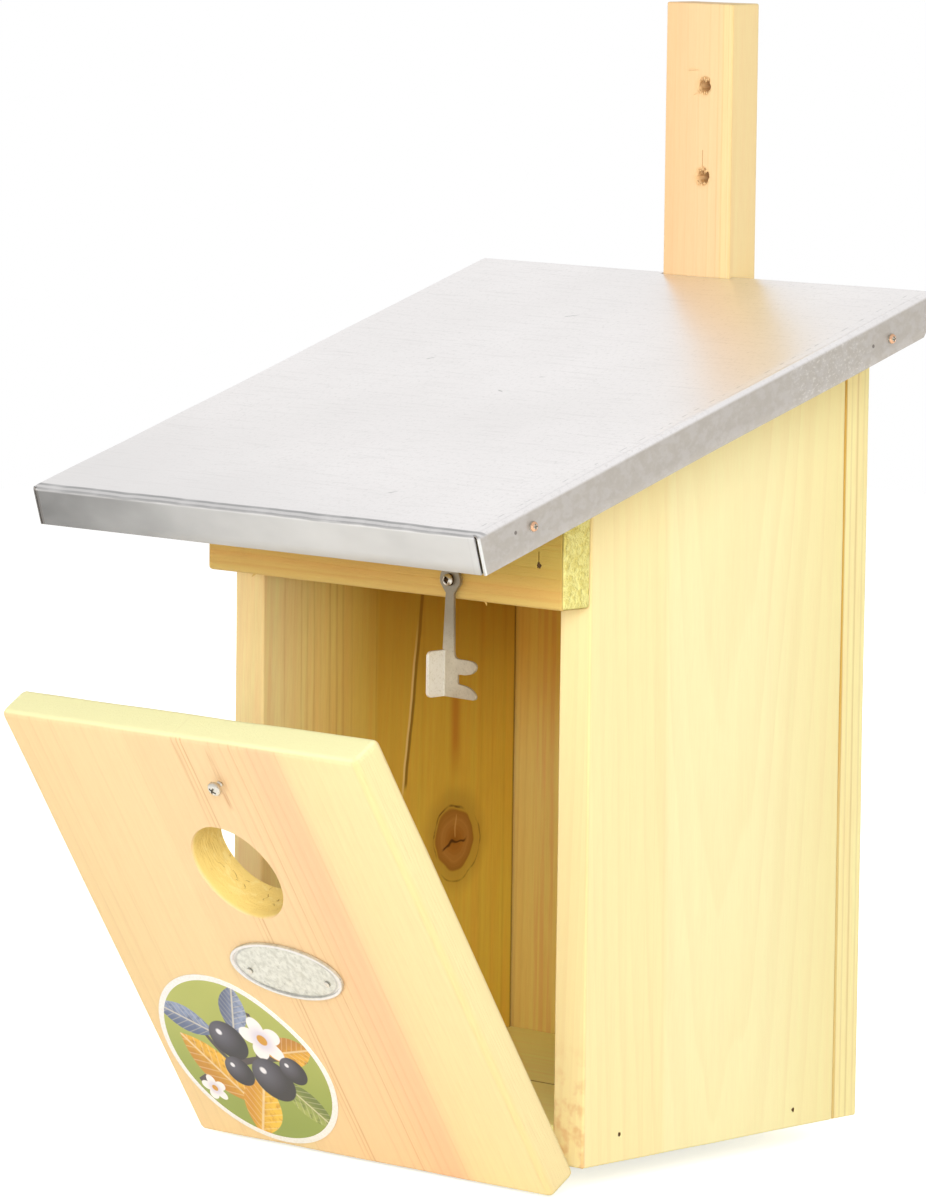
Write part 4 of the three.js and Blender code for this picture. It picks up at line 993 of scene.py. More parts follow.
# Brown streaks above the entrance: place in X and Z, width, length and strength.
DOOR_STREAKS = ((10.9, 141, 1.3, 4, 0.6), (11.6, 152, 1.6, 7, 0.4), (-0.8, 150, 0.9, 12, 0.3))
ENTRANCE_RIM = 0.5
ENTRANCE_TAPER = 1.5
ENTRANCE_SIDES = 96
ENTRANCE_WOBBLE = 0.012
ENTRANCE_SEED = 5
# Where crevices and flakes in the entrance's wall start and are full, from the front back and going down.
CREVICE_DEPTHS = (-14.5, -11.5)
CREVICE_HEIGHTS = (112, 106)
FLAKE_DEPTHS = (-14, -11)
FIBRE_ROWS = 7
FIBRE_RISE = 0.08
RIM_STEP = 0.05


def door_wood():
    wood = Pine("pine_door", (0.0, 0.004, 1), (-HALF_CASE, DOOR_FRONT, 0), (HALF_CASE, DOOR_FRONT, 0),
                DOOR_TINTS, DOOR_LINES, late="c98a50", line=0.6, spacing=3.0, rings=0.04, blotch=0.06,
                fibre=0.06)
    x, y, z = wood.axes
    ends = largest(z.step(DOOR_TOP - 1.0, DOOR_TOP - 0.3), z.step(DOOR_FOOT + 1, DOOR_FOOT + 0.3))
    wood.paint(ends, "fffac0")
    fibres = joined(x, 0, z * 0.06).noise(1.4, 3).step(0.3, 0.6)
    for middle, height, width, length, amount in DOOR_STREAKS:
        streak = x.band(middle, 0, width) * z.band(height, 0.3 * length, length)
        wood.paint(streak * fibres, "b5703a", amount)
    bore = joined(x - ENTRANCE_X, 0, z - ENTRANCE_Z).length()
    wall = bore.step(ENTRANCE_RADIUS + 0.5, ENTRANCE_RADIUS + 0.1)
    torn = joined(x, y * 1.6, z).noise(0.13, 2)
    wood.paint(wall, "f0d480", 0.95)
    crevices = wall * torn.band(0.5, 0.004, 0.012) * y.step(*CREVICE_DEPTHS)
    broken = wood.place.noise(0.35, 2).step(0.47, 0.6)
    wood.paint(crevices * broken * z.step(*CREVICE_HEIGHTS), "94661c", 0.8)
    flakes = joined(x, y * 2, z).noise(0.3, 3).step(0.5, 0.62)
    wood.paint(wall * flakes * y.step(*FLAKE_DEPTHS), "fbe9a4", 0.4)
    wood.roughen(wall * torn * 2.0, 0.4)
    # Painted shade along the door's right front edge.
    wood.paint_edge_shade(HALF_CASE, DOOR_FRONT, 2.4)
    return wood


def add_door():
    bm = weathered(block((-HALF_CASE, DOOR_FRONT, DOOR_FOOT), (HALF_CASE, DOOR_BACK, DOOR_TOP)), *DOOR_EASE)
    wide = ENTRANCE_RADIUS + ENTRANCE_RIM
    narrow = ENTRANCE_RADIUS - ENTRANCE_TAPER
    rows = [(ENTRANCE_RADIUS - ENTRANCE_TAPER * (row / FIBRE_ROWS) ** 2 + FIBRE_RISE * math.sin(4.1 * row),
             -DOOR_THICKNESS * row / FIBRE_ROWS) for row in range(FIBRE_ROWS - 1, 0, -1)]
    profile = [(0, -DOOR_THICKNESS - OVERRUN), (narrow, -DOOR_THICKNESS - OVERRUN),
               (narrow, -DOOR_THICKNESS - RIM_STEP), *rows, (wide, RIM_STEP), (wide, OVERRUN), (0, OVERRUN)]
    place = facing((0, -1, 0), ENTRANCE_X, DOOR_FRONT, ENTRANCE_Z)
    tool = turned(profile, ENTRANCE_SIDES, place, ENTRANCE_WOBBLE, ENTRANCE_SEED)
    piece("door_board", "door_panel", cut(bm, [tool]), [door_wood().material], "door")


# The roof's sheet, folded down at the front and at both sides.
SHEET_STEP = 6.0
SHEET_WAVE = 0.28
FLANGE_WAVE_SHARE = 0.4
FLANGE_RIPPLE = 0.04
WELD_REACH = 0.001
FLANGE_LEVELS = (10.6, 9.9, 9.2, 8.2, 6.0, 3.0, 0.0)
BEND_STEPS = 5
BEND_ARC = SHEET_BEND_RADIUS * math.pi / 2
SIDE_FLAT = ROOF_HALF - SHEET_BEND_RADIUS
FRONT_FLAT = ROOF_FRONT + SHEET_BEND_RADIUS
# Scratches: place across and along the sheet, length and turn.
SCRATCHES = ((-14, 92, 5.0, 0.5), (-35, 51, 3.2, 0.9), (16, 44, 3.0, 0.2), (39, -47, 3.5, 0.7),
             (11, 31, 3.0, -0.4))
SCRATCH_HALF_WIDTH = 0.3
# Pinholes in the side flanges: place along the sheet and up.
PINHOLES = ((-54.1, 7.6), (103.4, 5.8))
PINHOLE_RADIUS = 0.55


def folded(distance, flat):
    """Where a distance over the sheet lies after a bend: how far out, and how far down."""
    beyond = distance - flat
    if beyond <= 0:
        return distance, 0.0
    if beyond <= BEND_ARC:
        angle = beyond / SHEET_BEND_RADIUS
        return flat + SHEET_BEND_RADIUS * math.sin(angle), SHEET_BEND_RADIUS * (1 - math.cos(angle))
    return flat + SHEET_BEND_RADIUS, SHEET_BEND_RADIUS + beyond - BEND_ARC


def sheet_columns():
    """Distances across the sheet from its middle line, unfolded, and the edges of its middle part."""
    half = [SIDE_FLAT + BEND_ARC * step / BEND_STEPS for step in range(BEND_STEPS + 1)]
    half += [SIDE_FLAT + BEND_ARC + FLANGE_LEVELS[0] - level for level in FLANGE_LEVELS[1:]]
    inner = ROOF_HALF - SHEET_THICKNESS
    count = round(2 * inner / SHEET_STEP)
    middle = [SHEET_SLIT_LEFT - inner + (2 * inner - SHEET_SLIT_LEFT - SHEET_SLIT) * index / count
              for index in range(count + 1)]
    notch = [edge - ROOF_OFFSET + side * gap for edge, side in ((BATTEN_LOW_X, -1), (BATTEN_HIGH_X, 1))
             for gap in (NOTCH_GAP, NOTCH_GAP + 0.1)]
    return sorted([-value for value in half] + middle + notch + half), (middle[0], middle[-1])


def sheet_rows():
    """Distances over the sheet towards the front: those of the front bend, and those behind it, below 0."""
    rows = [BEND_ARC + FLANGE_LEVELS[0] - level for level in FLANGE_LEVELS[1:]]
    rows += [BEND_ARC * step / BEND_STEPS for step in range(BEND_STEPS + 1)]
    flat = ROOF_BACK / math.cos(ROOF_SLOPE) + ROOF_TOP * math.tan(ROOF_SLOPE) - ROOF_FRONT - SHEET_BEND_RADIUS
    count = round(flat / SHEET_STEP)
    return sorted(rows), [-flat * index / count for index in range(count + 1)]


def flare(along):
    """How much wider the sheet is towards its back."""
    share = min(1, max(0, (along - SHEET_FLARE_START) / (SIDE_DEPTH - SHEET_FLARE_START)))
    return 1 + SHEET_FLARE / ROOF_HALF * share * share * (3 - 2 * share)


def sheet_place(x, along, drop):
    """A point of the folded sheet, a little wavy, with the flare at the back."""
    wave = noise.noise(Vector((x * 0.02, along * 0.025, 3)))
    fine = noise.noise(Vector((x * 0.09, along * 0.09, 8)))
    up = ROOF_TOP - drop + SHEET_WAVE * max(0, 0.5 + wave) * (1 if drop < 1 else FLANGE_WAVE_SHARE)
    y, z = roof_point(along + FLANGE_RIPPLE * fine * (drop > 1), up)
    return Vector((ROOF_OFFSET + x * flare(along), y, z)) * MM


def side_end(up, drop, x):
    """Where the sheet ends at the back, along the slope, at a height up from the board's underside."""
    back = ROOF_BACK
    if drop == 0 and BATTEN_LOW_X - NOTCH_GAP - 0.01 < ROOF_OFFSET + x < BATTEN_HIGH_X + NOTCH_GAP + 0.01:
        back = CASE_BACK - NOTCH_GAP
    end = (back + up * math.sin(ROOF_SLOPE)) / math.cos(ROOF_SLOPE)
    low = FLANGE_CORNER_RADIUS - (FLANGE_HEIGHT - drop)
    if low > 0:
        end -= FLANGE_CORNER_RADIUS - math.sqrt(max(0, FLANGE_CORNER_RADIUS ** 2 - low ** 2))
    return end


def sheet_mesh():
    bm = bmesh.new()
    columns, inner = sheet_columns()
    bent, flat_rows = sheet_rows()

    def vertex(column, row, from_side):
        out, drop = folded(abs(column), SIDE_FLAT)
        x = math.copysign(out, column)
        start = ROOF_FRONT if from_side else FRONT_FLAT
        if not from_side:
            drop = 0
        if row > 0 and not from_side:
            forth, drop = folded(row, 0)
            return bm.verts.new(sheet_place(x, start - forth, drop))
        share = flat_rows.index(row) / (len(flat_rows) - 1)
        along = start + share * (side_end(ROOF_TOP - drop, drop, x) - start)
        return bm.verts.new(sheet_place(x, along, drop))

    kept = {}
    for left, right in zip(columns, columns[1:]):
        from_side = not inner[0] < (left + right) / 2 < inner[1]
        rows = list(reversed(flat_rows)) + ([] if from_side else bent[1:])
        for far, near in zip(rows, rows[1:]):
            corners = []
            for column, row in ((left, far), (right, far), (right, near), (left, near)):
                side = from_side or not inner[0] <= column <= inner[1]
                key = (column, row, side)
                if key not in kept:
                    kept[key] = vertex(column, row, side)
                corners.append(kept[key])
            bm.faces.new(corners)
    bmesh.ops.remove_doubles(bm, verts=bm.verts, dist=WELD_REACH * MM)
    bmesh.ops.recalc_face_normals(bm, faces=bm.faces)
    if sum(face.normal.z * face.calc_area() for face in bm.faces) < 0:
        bmesh.ops.reverse_faces(bm, faces=bm.faces)
    return bm


def front_flange_tone(x, along, up):
    """Dark on the left, where the flange mirrors less light, and pale on the right."""
    darker = x.step(-95, 30, 0.23, 0.60) + joined(x * 0.5, along, up).wave(0.12, 0.05)
    return joined(darker, darker, darker) * (1, 0.985, 0.96)


def side_flange_tone_and_light(x, along, sheet, grain, flake):
    # A grey darker than the top: painted reflection, over the zinc's own grain and flakes.
    tone = mix(grain, (0.53, 0.49, 0.44, 1), (0.45, 0.415, 0.375, 1))
    tone = mix(flake * 0.1, tone, (0.66, 0.63, 0.58, 1))
    tone = mix(sheet.noise(0.28, 3, 0.6).step(0.42, 0.62) * 0.35, tone, (0.60, 0.575, 0.56, 1))
    bright = sheet.noise(0.9, 3, 0.7).step(0.52, 0.66) * along.band(84, 10, 14)
    tone = mix(bright * 0.5, tone, (0.74, 0.71, 0.66, 1))
    # The front ends: a painted highlight on the right flange, painted shade on the left.
    right = x.step(-1, 1)
    edge = mix(right, (0.2, 0.19, 0.18, 1), (0.97, 0.97, 0.95, 1))
    tone = mix(along.step(ROOF_FRONT + 0.8, ROOF_FRONT + 0.4) * right * 0.8, tone, (0.93, 0.93, 0.91, 1))
    return mix(along.step(ROOF_FRONT + 0.06, ROOF_FRONT + 0.01), tone, edge)


def bend_shade_lines(x, along, up):
    """1 on painted shade along the front bend, broken along the edge, and less on a fold mark at the right.
    """
    fall = largest(ROOF_TOP - up, 0)
    bend = along + joined(x, 0, 0).wave(0.05, 0.45) - fall
    second = bend.band(ROOF_FRONT - 0.4, 0.3, 0.5) * 0.8
    first = bend.band(ROOF_FRONT + 1.7, 0.3, 0.8)
    # A wider band of painted shade between the two lines.
    wear_and_shade = bend.band(ROOF_FRONT + 0.6, 1.0, 0.8) * 0.35
    crease = largest(first, second, wear_and_shade) * joined(x, 0, 0).noise(0.07, 2).step(0.25, 0.55, 0.45, 0.85)
    broken = joined(0, along, 0).noise(0.25, 2).step(0.48, 0.6)
    fold = x.band(ROOF_OFFSET + ROOF_HALF - 4.2, 0.12, 0.3) * broken
    return largest(crease, fold * 0.3)


def zinc_sheet():
    shader = Shader("zinc_sheet")
    place = shader.place()
    x = place.axes()[0]
    offset = place - (0, 0, SIDE_FRONT_HEIGHT)
    along = offset.dot((0, math.cos(ROOF_SLOPE), math.sin(ROOF_SLOPE)))
    up = offset.dot((0, -math.sin(ROOF_SLOPE), math.cos(ROOF_SLOPE)))
    sheet = joined(x, along, up * 1.3)
    grain = sheet.noise(0.8, 4, 0.75)
    flake = shader.node("ShaderNodeTexVoronoi", {"Vector": sheet, "Scale": 0.55}, "Color").axes()[0]
    tone = mix(sheet.noise(0.018, 3), (0.80, 0.775, 0.765, 1), (0.93, 0.905, 0.90, 1))
    tone = mix((along + x * 0.35).step(-20, -90) * 0.35, tone, (0.66, 0.65, 0.645, 1))
    tone = mix(grain.step(0.5, 0.72), tone, (0.76, 0.74, 0.73, 1))
    drawn = joined(x * 0.06, along, up).noise(0.8, 3)
    tone = mix(drawn.step(0.5, 0.75) * 0.25, tone, (0.66, 0.64, 0.63, 1))
    flange = up.step(ROOF_TOP - 0.5, ROOF_TOP - 1.6)
    middle = x.band(ROOF_OFFSET, ROOF_HALF - SHEET_THICKNESS - SHEET_SLIT, 0.1)
    front = flange * middle * along.step(ROOF_FRONT + 1.2, ROOF_FRONT + 0.7)
    side = flange - front
    tone = mix(front, tone, front_flange_tone(x, along, up))
    # The side flanges, with painted reflection, highlight and shade.
    tone = mix(side, tone, side_flange_tone_and_light(x, along, sheet, grain, flake))
    # Painted shade along the front bend.
    tone = mix(bend_shade_lines(x, along, up) * (1 - side), tone, (0.25, 0.25, 0.25, 1))
    for *spot, length, turn in SCRATCHES:
        local = joined(x, along, 0).mapped(spot, turn, (length / 2, SCRATCH_HALF_WIDTH))
        mark = (local.length() + sheet.wave(0.9, 0.5)).step(0.6, 1.1, 0.75, 0.0)
        tone = mix(mark, tone, (0.45, 0.44, 0.43, 1))
    for pinhole in PINHOLES:
        local = joined(along, up, 0).mapped(pinhole, 0, (PINHOLE_RADIUS, PINHOLE_RADIUS))
        tone = mix(local.length().step(0.7, 1.3, 1.0, 0.0) * side * 0.7, tone, (0.10, 0.08, 0.07, 1))
    roughness = mix(flange, (0.36, 0.36, 0.36, 1), (0.5, 0.5, 0.5, 1))
    return shader.finished(tone, roughness, 1, grain * 0.35 + flake * flange * 0.2, 0.03, 0.4)


def add_roof_sheet():
    made = piece("roof_cover", "roof_sheet", sheet_mesh(), [zinc_sheet()], "case")
    thick = made.modifiers.new("thickness", "SOLIDIFY")
    thick.thickness = SHEET_THICKNESS * MM
    thick.offset = -1
    thick.use_even_offset = True
    bpy.context.view_layer.objects.active = made
    made.modifiers.move(1, 0)


# Screws and nails. A screw's sizes: shank radius, length, head radius and head height.
RECESS_WIDTH_SHARE = 0.3
RECESS_LENGTH_SHARE = 1.15
RECESS_DEPTH_SHARE = 0.6
DOME_SHARES = ((1.0, 0.0), (1.0, 0.38), (0.93, 0.62), (0.78, 0.82), (0.5, 0.95), (0.2, 1.0))
HEAD_EDGE_SHARE = 0.97
SCREW_SIDES = 36
LATCH_SCREW = (1.4, 12.5, 1.8, 1.5)
LATCH_SCREW_GAP = 0.2
LATCH_SCREW_TURN = 0.3
# The share of the latch screw's head, round its recess, that is painted in shade.
LATCH_SCREW_RING_SHARE = 0.5
CATCH_SCREW = (1.0, 11.0, 2.2, 1.6)
CATCH_SCREW_TURN = 0.9
CATCH_SCREW_THREAD_END = 0.4
CATCH_PLACE = (11.2, DOOR_FRONT - 2.2, 146.7)
FLANGE_SCREW = (1.1, 11.0, 1.45, 1.1)
FLANGE_SCREW_RING_SHARE = 0.62
# The flange screws' ends of the roof, and their places along the sheet and up.
FLANGE_SCREW_PLACES = (("front", -47.0, 6.8), ("rear", 111.64, 5.2))
BADGE_NAIL = (0.5, 8.0, 1.0, 0.4)
THREAD_PITCH = 1.2


def screw_mesh(sizes, place, turn=0.4, cross=True, thread=0.0, ring=0.0):
    """A pan head's screw with its head's underside at the place, or a plain nail.

    Inside a ring, a share of the head's radius, and at the head's very edge, the faces take the second
    material. A thread runs up to a distance below the head.
    """
    shank, length, radius, height = sizes
    profile = [(0, -length), (0.3 * shank, -length + 0.6 * shank), (shank, -length + 2 * shank)]
    if thread:
        reach = -length + 2 * shank
        while reach < -thread:
            profile += [(0.78 * shank, reach + 0.35 * THREAD_PITCH), (shank, reach + THREAD_PITCH)]
            reach += THREAD_PITCH
    profile += [(shank, 0)]
    profile += [(share * radius, level * height) for share, level in DOME_SHARES] + [(0, height)]
    bm = turned(profile, SCREW_SIDES, Matrix())
    if cross:
        half = RECESS_WIDTH_SHARE * radius / 2
        reach = RECESS_LENGTH_SHARE * radius / 2
        low = height * (1 - RECESS_DEPTH_SHARE)
        bars = [block((-reach, -half, low), (reach, half, 2 * height)),
                block((-half, -reach, low), (half, reach, 2 * height))]
        bm = cut(bm, [united(bars[0], [bars[1]])])
    for face in bm.faces:
        middle = face.calc_center_median()
        away = math.hypot(middle.x, middle.y) / MM
        second = ring and (away < ring * radius or away > HEAD_EDGE_SHARE * radius)
        face.material_index = int(second)
    bm.transform(place @ Matrix.Rotation(turn, 4, "Z"))
    return bm


def screw_metal(name, light, dark, dirt):
    shader = Shader(name)
    place = shader.place()
    tone = mix(place.noise(0.9, 3), light, dark)
    tone = mix(place.noise(2.2, 3, 0.7).step(0.55, 0.72) * 0.5, tone, dirt)
    return shader.finished(tone, 0.34, 1, place.noise(3.0, 3), 0.03, 0.5)


def add_screws(steel, copper, dull):
    place = facing((0, -1, 0), LATCH_X, -LATCH_BACK - LATCH_THICKNESS - LATCH_SCREW_GAP, LATCH_Z)
    # The head's middle round its recess and its rim take the dark steel: painted shade.
    bm = screw_mesh(LATCH_SCREW, place, LATCH_SCREW_TURN, ring=LATCH_SCREW_RING_SHARE)
    piece("latch_pan_screw", "latch_screw", bm, [steel, dull], "case")
    place = facing((0, -1, 0), *CATCH_PLACE)
    bm = screw_mesh(CATCH_SCREW, place, CATCH_SCREW_TURN, thread=CATCH_SCREW_THREAD_END)
    piece("catch_pan_screw", "catch_screw", bm, [steel], "door")
    for side, sign in (("left", -1), ("right", 1)):
        for end, along, up in FLANGE_SCREW_PLACES:
            out = ROOF_OFFSET + sign * ROOF_HALF * flare(along)
            place = facing((sign, 0, 0), out, *roof_point(along, up))
            bm = screw_mesh(FLANGE_SCREW, place, along, ring=FLANGE_SCREW_RING_SHARE)
            piece(f"flange_pan_screw_{side}_{end}", f"flange_screw_{side}_{end}", bm, [copper, steel], "case")


# The latch: a stamped plate with an eye, an arm, a fork and a finger tab.
EYE_RADIUS = 3.9
EYE_HOLE_RADIUS = 1.5
EYE_STEPS = 24
CORNER_STEPS = 6
NECK_ANGLE_DEGREES = 18
NECK_HALF = 1.55
NECK_DROP = 3.9
ARM_LEFT = 2.5
ARM_RIGHT = 1.8
LATCH_FOOT = 33.74
TAB_HEIGHT = 13.4
TAB_TOP = TAB_HEIGHT - LATCH_FOOT
TAB_FRONT = 7.8
TAB_CORNER = 1.6
TAB_BEND_RADIUS = 1.0
TAB_BEND_INNER_RADIUS = 0.6
TAB_OVERLAP = 0.1
NOTCH_ROOT = 3.4
NOTCH_MIDDLE = -28.49
NOTCH_HALF = 1.45
PRONG_REACH = 10.6
LOWER_PRONG_HEIGHT = 3.8
UPPER_PRONG_HEIGHT = 4.3
LOWER_PRONG_SHARES = ((0.84, 1.06), (0.93, 1.03), (0.99, 0.92), (1, 0.78), (0.96, 0.6), (0.87, 0.41),
                      (0.75, 0.26), (0.6, 0.14), (0.43, 0.05), (0.27, 0.01), (0.12, 0))
UPPER_PRONG_SHARES = ((0.14, 0.01), (0.4, 0.0), (0.62, 0.06), (0.8, 0.17), (0.92, 0.32), (0.99, 0.5),
                      (1, 0.66), (0.96, 0.82), (0.87, 0.93), (0.74, 0.99), (0.46, 1.02))
# The hollow between the upper prong and the arm: right of the arm, and above the prong.
ARMPIT = ((1.4, 0.15), (0.35, 0.8), (0.0, 2.0))
LATCH_EASE = 0.15
TAB_VOLUME_SHARES = (0.5, 1)


def latch_outline():
    length = PRONG_REACH - NOTCH_ROOT
    floor = NOTCH_MIDDLE - NOTCH_HALF
    roof = NOTCH_MIDDLE + NOTCH_HALF
    inset = TAB_BEND_RADIUS - ARM_LEFT
    points = [(NECK_HALF, -NECK_DROP)]
    points += arc(0, 0, EYE_RADIUS, -NECK_ANGLE_DEGREES, 180 + NECK_ANGLE_DEGREES, EYE_STEPS)
    points += [(-NECK_HALF, -NECK_DROP), (-ARM_LEFT, TAB_TOP + TAB_OVERLAP), (inset, TAB_TOP - TAB_OVERLAP),
               (inset, -LATCH_FOOT)]
    points += [(NOTCH_ROOT + length * x, floor - LOWER_PRONG_HEIGHT * z) for x, z in LOWER_PRONG_SHARES]
    points += [(NOTCH_ROOT, floor + 0.35), (NOTCH_ROOT - 0.12, NOTCH_MIDDLE), (NOTCH_ROOT, roof - 0.2)]
    points += [(NOTCH_ROOT + length * x, roof + UPPER_PRONG_HEIGHT * z) for x, z in UPPER_PRONG_SHARES]
    points += [(ARM_RIGHT + x, roof + UPPER_PRONG_HEIGHT + z) for x, z in ARMPIT]
    return points


def bend_outline():
    """The tab's bend seen from above: an outer and an inner arc."""
    inside = LATCH_THICKNESS - ARM_LEFT
    inner_middle = inside + TAB_BEND_INNER_RADIUS
    points = [(TAB_BEND_RADIUS - ARM_LEFT + 0.5, 0)]
    points += arc(TAB_BEND_RADIUS - ARM_LEFT, -TAB_BEND_RADIUS, TAB_BEND_RADIUS, 90, 180, CORNER_STEPS)
    points += [(-ARM_LEFT, -TAB_FRONT - 1), (inside, -TAB_FRONT - 1)]
    points += arc(inner_middle, -LATCH_THICKNESS - TAB_BEND_INNER_RADIUS, TAB_BEND_INNER_RADIUS, 180, 90,
                  CORNER_STEPS)
    points += [(inner_middle + TAB_OVERLAP, -LATCH_THICKNESS), (inner_middle + TAB_OVERLAP, 0)]
    return points


def tab_outline():
    """The tab seen from the side, with two round corners."""
    front = -TAB_FRONT + TAB_CORNER
    points = [(1, -LATCH_FOOT), (1, TAB_TOP)]
    points += arc(front, TAB_TOP - TAB_CORNER, TAB_CORNER, 90, 180, CORNER_STEPS)
    points += arc(front, TAB_CORNER - LATCH_FOOT, TAB_CORNER, 180, 270, CORNER_STEPS)
    return points


def latch_metal():
    shader = Shader("latch_zinc")
    place = shader.place()
    _, y, z = place.axes()
    specks = place.noise(1.6, 4, 0.75)
    tone = mix(place.noise(0.35, 3), "cfc6b4", "b3aa96")
    tone = mix(specks.step(0.5, 0.7) * 0.4, tone, "8f8570")
    # Darker on the arm and eye: painted shade under the roof.
    tone = mix(z.step(-24, -9) * 0.75, tone, "7d7361")
    # The finger tab paler than the plate: painted light on the tab, which faces the key lamp.
    tab = y.step(-LATCH_THICKNESS - 0.1, -LATCH_THICKNESS - 0.6)
    tone = mix(tab, tone, mix(specks.step(0.5, 0.66), "f3f0e8", "e2ddd0"))
    return shader.finished(tone, 0.42, 0.6, specks, 0.04, 0.4)


def add_latch():
    plate = swept(latch_outline(), 1, -LATCH_THICKNESS, 0)
    bend = swept(bend_outline(), 2, -LATCH_FOOT, TAB_TOP)
    tab = combined(bend, [swept(tab_outline(), 0, -ARM_LEFT - 1, ARM_RIGHT)], "INTERSECT",
                   *TAB_VOLUME_SHARES)
    profile = [(0, -1), (EYE_HOLE_RADIUS, -1), (EYE_HOLE_RADIUS, 2), (0, 2)]
    bore = turned(profile, SCREW_SIDES, facing((0, -1, 0), 0, 0, 0))
    bm = rounded(cut(united(plate, [tab]), [bore]), LATCH_EASE, 2)
    piece("latch_stamping", "latch_plate", bm, [latch_metal()], "latch")


# The badge: an oval plate with a raised rim and a pebbled field.
BADGE_X = 2.8
BADGE_Z = 77.9
BADGE_HALF_SIZES = (22.0, 9.8)
BADGE_RIM = 1.2
BADGE_BACK = -17.3
BADGE_FIELD = -17.9
BADGE_TOP = -18.3
BADGE_GROOVE = -17.75
BADGE_SIDES = 120
BADGE_RINGS = 26
BADGE_FIELD_INSET = BADGE_RIM + 0.5
# The badge's section from its back edge over the rim: inset and place in Y.
BADGE_SECTION = (
    (0.0, BADGE_BACK), (0.0, BADGE_TOP + 0.3), (0.12, BADGE_TOP + 0.08), (0.35, BADGE_TOP),
    (BADGE_RIM - 0.4, BADGE_TOP), (BADGE_RIM - 0.2, BADGE_TOP + 0.1), (BADGE_RIM, BADGE_GROOVE),
    (BADGE_RIM + 0.25, BADGE_GROOVE), (BADGE_FIELD_INSET, BADGE_FIELD),
)
BADGE_NAIL_SHIFT = 15.5
BADGE_NAIL_Z = 75.9
BADGE_NAIL_SINK = 0.25
PEBBLE_RISE = 0.06


def badge_ring(half_x, half_z, y, pebbled=0.0):
    ring = []
    for side in range(BADGE_SIDES):
        angle = 2 * math.pi * side / BADGE_SIDES
        x, z = half_x * math.cos(angle), half_z * math.sin(angle)
        pebble = noise.noise(Vector((x * 0.75, z * 0.75, 4)))
        pebble += 0.5 * noise.noise(Vector((x * 1.6, z * 1.6, 9)))
        ring.append((BADGE_X + x, y - PEBBLE_RISE * pebbled * pebble, BADGE_Z + z))
    return ring


def badge_mesh():
    """Rings from the back's edge over the rim to the field's middle."""
    wide, high = BADGE_HALF_SIZES
    rings = [badge_ring(wide - inset, high - inset, y) for inset, y in BADGE_SECTION]
    wide, high = wide - BADGE_FIELD_INSET, high - BADGE_FIELD_INSET
    for ring in range(1, BADGE_RINGS):
        share = 1 - ring / BADGE_RINGS
        rings.append(badge_ring(wide * share, high * share, BADGE_FIELD, min(1, 4 * (1 - share))))
    return ringed(rings)


def badge_metal():
    shader = Shader("badge_silver")
    place = shader.place()
    x, _, z = place.axes()
    pebble = place.noise(0.5, 4, 0.6)
    tone = mix(pebble.step(0.35, 0.68), "d8d8cf", "c0c0b6")
    tone = mix(place.noise(0.7, 3, 0.6).step(0.6, 0.7) * 0.35, tone, "8f8e86")
    wide, high = BADGE_HALF_SIZES
    away = joined((x - BADGE_X) * (1 / wide), 0, (z - BADGE_Z) * (1 / high)).length()
    tone = mix(away.band(0.893, 0.008, 0.014) * 0.4, tone, "9a9496")
    tone = mix(away.band(0.955, 0.025, 0.02) * 0.7, tone, "e2dedd")
    return shader.finished(tone, 0.4, 0.7, pebble, 0.12, 0.5)


def add_badge(steel):
    piece("badge_oval", "badge_plate", badge_mesh(), [badge_metal()], "door")
    for side, sign in (("left", -1), ("right", 1)):
        x = BADGE_X + sign * BADGE_NAIL_SHIFT
        place = facing((0, -1, 0), x, BADGE_FIELD - BADGE_NAIL_SINK, BADGE_NAIL_Z)
        bm = screw_mesh(BADGE_NAIL, place, cross=False)
        piece(f"badge_pin_{side}", f"badge_nail_{side}", bm, [steel], "door")


# The paper picture: a white-edged oval with berries, leaves and blossom on a plain olive ground.
LABEL_X = -33.4
LABEL_Z = 38.7
LABEL_HALF_SIZES = (33.2, 31.6)
LABEL_BORDER = 2.0
LABEL_BACK = -17.1
LABEL_FRONT = -17.35
LABEL_EASE = 0.06
LABEL_RING_STEP = 4.8
LABEL_SIDES = 144
LABEL_FLAT_SHARE = 0.08
LABEL_FLAT_ANGLE = math.radians(42)
LABEL_FLAT_REACH = math.radians(34)
# Each leaf: middle, turn in degrees, half length and half width, light and dark colour.
LEAVES = (
    ((-15.5, -6.0), 128, (15.5, 7.6), "f4bc34", "c98a1c"),
    ((-3.0, -18.5), 62, (14.0, 7.2), "f8ca40", "d8961e"),
    ((-19.5, 12.5), 158, (11.5, 5.4), "93a0bd", "5f6c8a"),
    ((3.5, 19.0), 66, (11.0, 5.2), "9aa6c2", "5d6884"),
    ((20.0, 6.0), 14, (10.5, 5.6), "efb42e", "c0801e"),
    ((17.5, -14.0), -48, (11.5, 5.6), "a9b35a", "6e7c34"),
)
# The twigs: middle, turn in degrees, half length, bow and half width.
TWIGS = (((-1.0, -1.0), 18, 27.0, 3.4, 1.1), ((-12.0, 4.0), 118, 10.0, 1.4, 0.7),
         ((8.0, 9.0), 74, 10.0, -1.2, 0.7), ((10.0, -7.0), 118, 10.0, -1.4, 0.7))
# Berries and blossoms: middle and radius.
BERRIES = (((7.5, -6.5), 8.2), ((-4.5, 6.5), 7.4), ((18.0, -1.5), 5.2), ((-6.0, -5.5), 5.6))
BLOSSOMS = (((10.5, 9.0), 8.6), ((-21.0, -14.5), 5.0))
BLOSSOM_TURN = 0.4
BERRY_GLINT = (-0.35, 0.38, 0)


